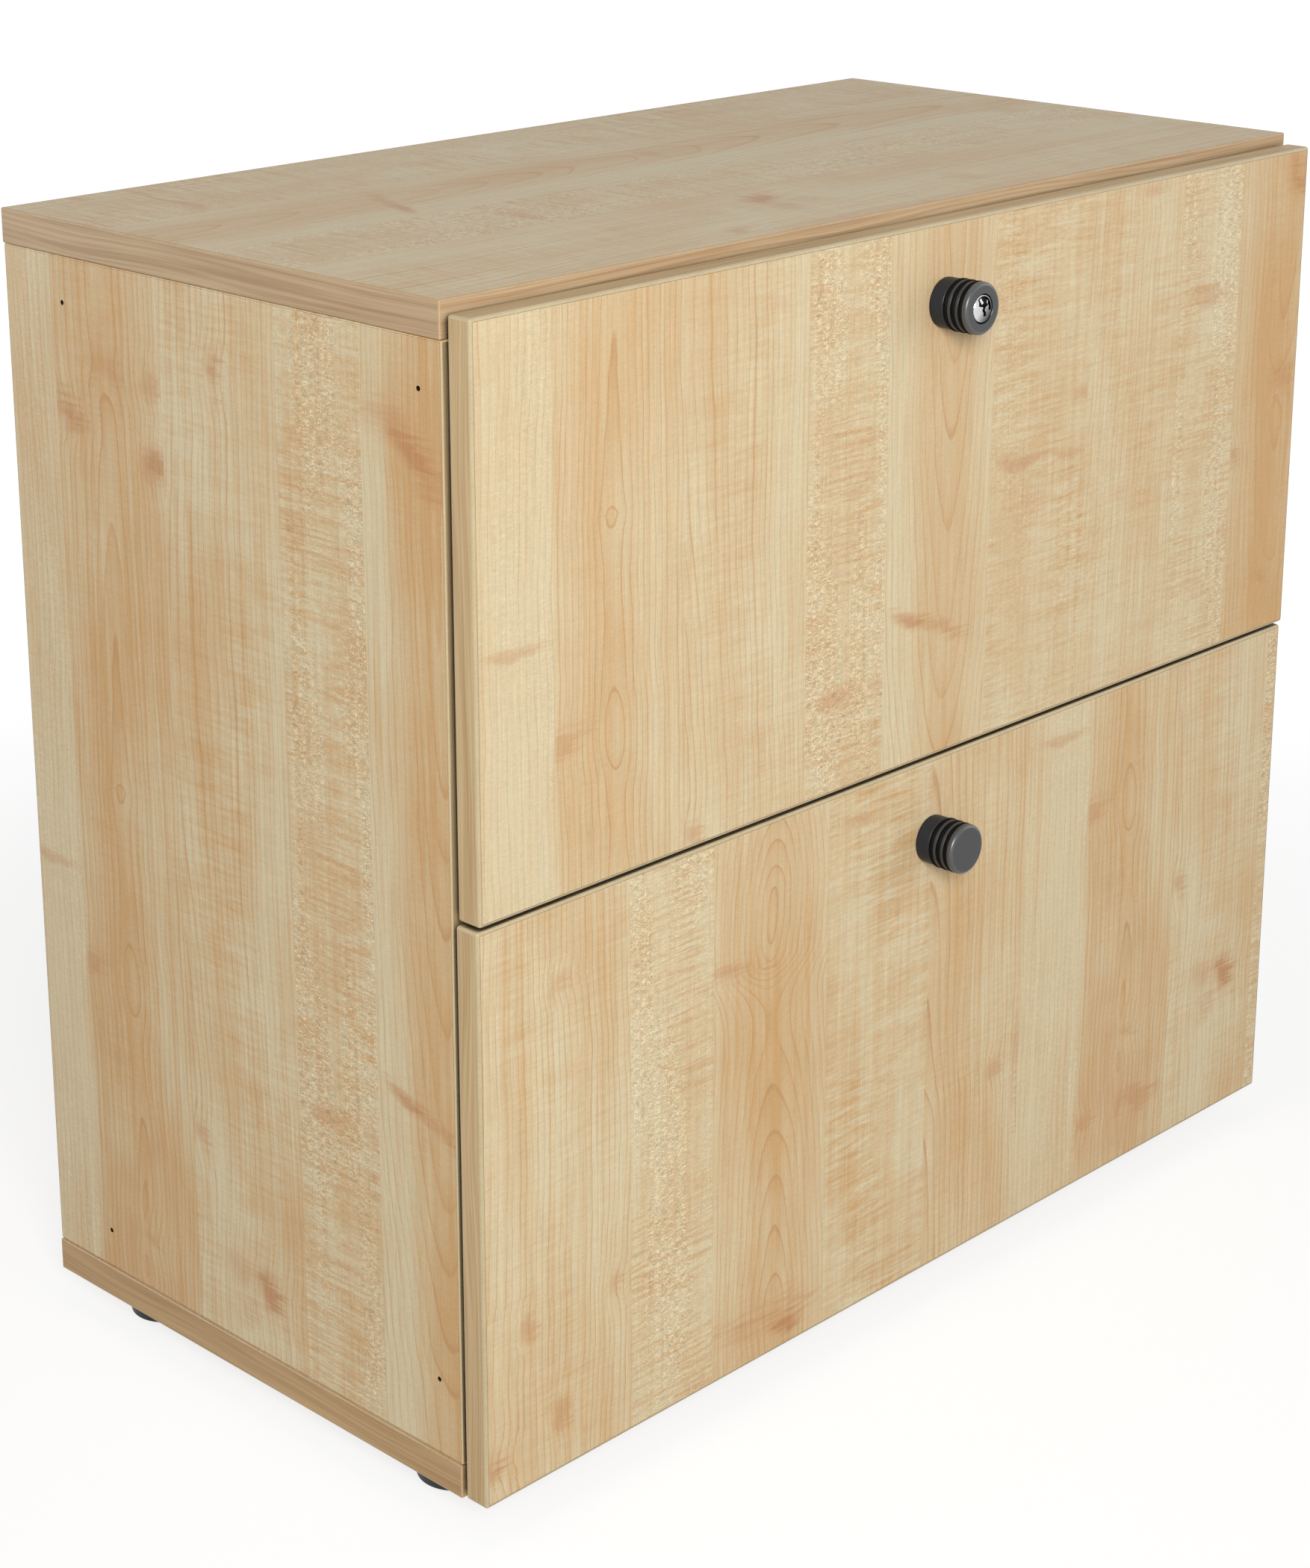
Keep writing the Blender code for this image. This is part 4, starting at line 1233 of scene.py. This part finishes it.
def makeKnobScrew():
    low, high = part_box("lower_knob_screw")
    base = high.y - screws["knob"][1] * mm
    spot = ((low.x + high.x) / 2, base, (low.z + high.z) / 2)
    makeScrews("lower_knob_pan_screw", "knob", [(spot, yAxis)], "lower_knob_screw", length=base - low.y)


# Levelling feet: a ribbed collar on a broad pad, with a threaded stem in its sleeve

foot = sized({
    "padRadius": 25, "padHeight": 10, "padEdge": 1.2, "room": 0.3,
    "collarRadius": 21, "collarEdge": 1.0, "collarBase": 1.5, "collarInside": 3, "collarSlope": 1.5,
    "collarFall": 0.2,
    "ribDepth": 0.7, "ribFrom": 10.5, "ribInside": 19,
    "stemRadius": 4, "stemEdge": 0.5, "stemPitch": 1.25, "stemDepth": 0.45,
    "sleeveBore": 4.3, "sleeveRadius": 6, "sleeveEdge": 0.4, "sleevePitch": 2, "sleeveDepth": 0.5,
})
ribCount = 30


def makeFeet():
    def ribbed(radius, height, angle):
        if height <= foot["ribFrom"] or radius < foot["ribInside"]:
            return radius
        return radius - foot["ribDepth"] * (0.5 - 0.5 * math.cos(ribCount * angle))

    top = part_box("bottom_panel")[0].z - foot["room"]
    for name in ("front_left", "front_right", "rear_left", "rear_right"):
        low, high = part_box(name + "_foot")
        place = ((low.x + high.x) / 2, (low.y + high.y) / 2, 0)
        stem, stemEdge, height = foot["stemRadius"], foot["stemEdge"], foot["padHeight"]
        pad, edge = foot["padRadius"] - foot["padEdge"], foot["padEdge"]
        collar, bevel = foot["collarRadius"], foot["collarEdge"]
        profile = [(0, high.z), (stem - stemEdge, high.z)]
        profile += threaded(stem, high.z - stemEdge, top, foot["stemPitch"], foot["stemDepth"])
        stemEnd = len(profile) - 1
        profile.append((collar - foot["collarInside"], top))
        profile.append((collar - foot["collarSlope"], top - foot["collarFall"]))
        profile += [(collar, top - bevel), (collar, height + foot["collarBase"]), (collar, height)]
        profile += arcPoints((pad, height - edge), edge, 90, 0, 5)
        profile += arcPoints((pad, edge), edge, 0, -90, 5) + [(0, 0)]

        def paintOf(row):
            return 1 if row < stemEnd else 0

        shape = lathe(profile, place, zAxis, turnSides["foot"], paintOf, ribbed)
        makePiece(name + "_leveller_pad", shape, ([footPlastic, zinc], "foot_plastic"), name + "_foot")

        low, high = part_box(name + "_foot_sleeve")
        bore, radius, edge = foot["sleeveBore"], foot["sleeveRadius"], foot["sleeveEdge"]
        pitch = foot["sleevePitch"]
        profile = [(bore, high.z - edge), (bore + edge, high.z), (radius - edge, high.z)]
        profile += threaded(radius, high.z - edge, low.z + pitch, pitch, foot["sleeveDepth"])
        profile += [(radius, low.z), (bore + edge, low.z), (bore, low.z + edge)]
        shape = lathe(profile, place, zAxis, turnSides["sleeve"])
        makePiece(name + "_threaded_sleeve", shape, zincLook, name + "_foot_sleeve")


# Ball slides: three nested channels a side, folded from sheet, punched and screwed

slide = sized({"gauge": 1.2, "bend": 1.5, "slotLength": 14, "slotWidth": 5, "holeRadius": 2.6})
# millimetres from the slide's front end
slideHoles = (28, 92, 156, 220, 284, 330)
slideScrews = (60, 188, 307)


def makeSlides():
    gauge = slide["gauge"]
    members = ("cabinet", "middle", "drawer")
    for drawer, (side, sign), member in itertools.product(drawers, sides, members):
        node = f"{drawer}_{side}_{member}_slide"
        low, high, outer, inner = sideBox(node, sign)
        web, lip = outer - sign * gauge / 2, inner
        if member == "drawer":
            web, lip = inner + sign * gauge / 2, outer
        path = channelPath(lip, web, low, high, gauge)
        shape = folded(path, gauge, slide["bend"], (low.y, high.y), xAxis, zAxis, yAxis)
        piece = makePiece(f"{drawer}_{side}_{member}_channel", shape, zincLook, node)
        cutters = []
        middle = (low.z + high.z) / 2
        for i, distance in enumerate(slideHoles):
            if (i + (member == "middle")) % 2:
                outline = slotOutline(slide["slotLength"], slide["slotWidth"])
            else:
                outline = roundOutline(slide["holeRadius"])
            origin = (web, low.y + distance * mm, middle)
            cutters.append(prism(outline, (-gauge, gauge), yAxis, zAxis, xAxis, origin))
        cutAway(piece, cutters)
        if member == "cabinet":
            inside = web - sign * gauge / 2
            spots = [((inside, low.y + distance * mm, middle), (-sign, 0.0, 0.0)) for distance in slideScrews]
            makeScrews(f"{drawer}_{side}_slide_screws", "slide", spots, body="cabinet")


# Hanging frame: folded sides and rails, two bars for the folders' hooks and screwed corner brackets

frameSheet = sized({
    "gauge": 1.5, "bend": 2.0, "bracketGauge": 2.0, "bracketBend": 3.0, "lipTurn": 8, "barEdge": 0.8,
    "slotLength": 26, "slotWidth": 9, "slotRise": 16, "slotCut": 4, "legScrew": 11, "armScrewDrop": 22,
})
frameSlots = (0.36, 0.56, 0.76)  # shares of the side's length
legScrews = (0.10, 0.36, 0.62)  # shares of the bracket's height
armScrews = (22, 44)  # millimetres behind the front
railScrews = (-200, -70, 70, 200)  # millimetres from the middle


def makeFrame(drawer):
    gauge, bend = frameSheet["gauge"], frameSheet["bend"]
    thick, cut = frameSheet["bracketGauge"], frameSheet["slotCut"]
    spots = []
    for side, sign in sides:
        node = f"{drawer}_frame_{side}_side"
        low, high, outer, inner = sideBox(node, sign)
        web, lip, top = outer - sign * gauge / 2, inner + sign * gauge / 2, high.z - gauge / 2
        path = [(web, low.z), (web, top), (lip, top), (lip, high.z - frameSheet["lipTurn"])]
        shape = folded(path, gauge, bend, (low.y, high.y), xAxis, zAxis, yAxis)
        piece = makePiece(f"{drawer}_{side}_frame_profile", shape, paintLook, node)
        outline = slotOutline(frameSheet["slotLength"], frameSheet["slotWidth"])
        cutters = []
        for share in frameSlots:
            origin = (web, low.y + (high.y - low.y) * share, low.z + frameSheet["slotRise"])
            cutters.append(prism(outline, (-cut, cut), yAxis, zAxis, xAxis, origin))
        cutAway(piece, cutters)

        node = f"{drawer}_{side}_front_bracket"
        low, high, outer, inner = sideBox(node, sign)
        web, front = outer - sign * thick / 2, low.y + thick / 2
        path = [(inner, front), (web, front), (web, high.y)]
        shape = folded(path, thick, frameSheet["bracketBend"], (low.z, high.z), xAxis, yAxis, zAxis)
        makePiece(f"{drawer}_{side}_bracket_angle", shape, paintLook, node)
        leg, arm = inner + sign * frameSheet["legScrew"], outer - sign * thick
        for share in legScrews:
            spots.append(((leg, low.y + thick, low.z + (high.z - low.z) * share), yAxis))
        for along in armScrews:
            spots.append(((arm, low.y + along * mm, high.z - frameSheet["armScrewDrop"]), (-sign, 0.0, 0.0)))

        node = f"{drawer}_{side}_file_bar"
        low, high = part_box(node)
        shape = boardShape(low, high, frameSheet["barEdge"], 0, 0.0, 3)
        makePiece(f"{drawer}_{side}_hook_bar", shape, ([framePaint] * 3, "frame_paint"), node)
    for end in ("front", "rear"):
        node = f"{drawer}_frame_{end}_rail"
        low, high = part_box(node)
        web, lip = (low.y + gauge / 2, high.y) if end == "front" else (high.y - gauge / 2, low.y)
        path = channelPath(lip, web, low, high, gauge)
        shape = folded(path, gauge, bend, (low.x, high.x), yAxis, zAxis, xAxis)
        makePiece(f"{drawer}_{end}_rail_profile", shape, paintLook, node)
        if end == "front":
            spots += [((x * mm, web + gauge / 2, (low.z + high.z) / 2), yAxis) for x in railScrews]
    makeScrews(drawer + "_frame_screws", "frame", spots, body=drawer + "_drawer")


strike = sized({"gauge": 1.5, "bend": 1.8, "screwSetback": 6, "screwX": 9.5})


def makeStrikePlate():
    low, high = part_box("lock_strike_plate")
    gauge = strike["gauge"]
    web, top = low.y + gauge / 2, high.z - gauge / 2
    path = [(web, low.z), (web, top), (high.y, top)]
    shape = folded(path, gauge, strike["bend"], (low.x, high.x), yAxis, zAxis, xAxis)
    makePiece("strike_angle", shape, zincLook, "lock_strike_plate")
    y, z = high.y - strike["screwSetback"], high.z - gauge
    spots = [((x, y, z), (0.0, 0.0, -1.0)) for x in (-strike["screwX"], strike["screwX"])]
    makeScrews("strike_screws", "strike", spots, body="cabinet")


makeFronts()
makeCarcass()
print("boards made")
makeKnobs()
makeLock()
makeKnobScrew()
print("knobs, rings and lock made")
makeFeet()
makeSlides()
for drawer in drawers:
    makeFrame(drawer)
makeStrikePlate()
print("feet, slides, hanging frames and strike plate made")


# Stage, light and camera

stage = {
    "floorSize": 60.0,
    "floorTone": 0.32,
    "floorGlow": (0.76, 1.0),
    "glowReach": (0.6, 2.0),
    "skyLight": 0.18,
    "cameraPlace": (-1.513, -1.4135, 1.095),
    "azimuth": -45.88,
    "elevation": 16.53,
    "filmWidth": 36.0,
    "focalPixels": 4274.2,
    "frameHeight": 2100,
    "shiftPixels": -294,
}
lamps = {
    "keyLamp": {"place": (-2.3, -2.85, 1.95), "aim": (0.0, -0.2, 0.42), "size": 1.6, "power": 123.0},
    "fillLamp": {"place": (2.6, -1.8, 1.3), "aim": (0.0, 0.0, 0.35), "size": 2.4, "power": 16.0},
    "backLamp": {"place": (-1.3, 3.2, 0.9), "aim": (0.0, 0.0, 0.45), "size": 2.2, "power": 30.0},
}


def seenDirectly(tree):
    path = addNode("ShaderNodeLightPath", {}, tree).outputs
    straight = calc("MAXIMUM", path["Is Camera Ray"], path["Is Glossy Ray"])
    return calc("MAXIMUM", straight, path["Is Transmission Ray"])


def aimed(name, data, place, direction):
    holder = placed(name, data)
    holder.location = place
    holder.rotation_euler = direction.to_track_quat("-Z", "Y").to_euler()
    return holder


def makeStage():
    shape = bmesh.new()
    bmesh.ops.create_grid(shape, x_segments=1, y_segments=1, size=stage["floorSize"] / 2)
    floor = placed("floor", finishMesh(shape, "floor"))
    material, tree, shader = newMaterial("floor paper", roughness=0.9, specular=0.0)
    tone = stage["floorTone"]
    white = (1.0, 1.0, 1.0, 1.0)
    shader.inputs["Base Color"].default_value = (tone, tone, tone, 1.0)
    shader.inputs["Emission Color"].default_value = white
    distance = vectorCalc("LENGTH", surfacePoint(tree))
    glow = spread(distance, *stage["glowReach"], *stage["floorGlow"])
    tree.links.new(times(seenDirectly(tree), glow), shader.inputs["Emission Strength"])
    floor.data.materials.append(material)

    world = bpy.data.worlds.new("studio")
    bpy.context.scene.world = world
    world.use_nodes = True
    tree = world.node_tree
    background = tree.nodes["Background"]
    background.inputs["Color"].default_value = white
    strength = spread(seenDirectly(tree), 0.0, 1.0, stage["skyLight"], 1.0, smooth=False)
    tree.links.new(strength, background.inputs["Strength"])

    for name, setting in lamps.items():
        lamp = bpy.data.lights.new(name, "AREA")
        lamp.shape = "DISK"
        lamp.size = setting["size"]
        lamp.energy = setting["power"]
        aimed(name, lamp, setting["place"], Vector(setting["aim"]) - Vector(setting["place"]))


def makeCamera():
    camera = bpy.data.cameras.new("camera")
    camera.sensor_width = stage["filmWidth"]
    camera.lens = stage["focalPixels"] / stage["frameHeight"] * camera.sensor_width
    camera.shift_y = stage["shiftPixels"] / stage["frameHeight"]
    azimuth, elevation = math.radians(stage["azimuth"]), math.radians(stage["elevation"])
    level = math.cos(elevation)
    back = Vector((math.sin(azimuth) * level, -math.cos(azimuth) * level, math.sin(elevation)))
    bpy.context.scene.camera = aimed("camera", camera, stage["cameraPlace"], -back)


makeStage()
makeCamera()
print("stage, lamps and camera set")
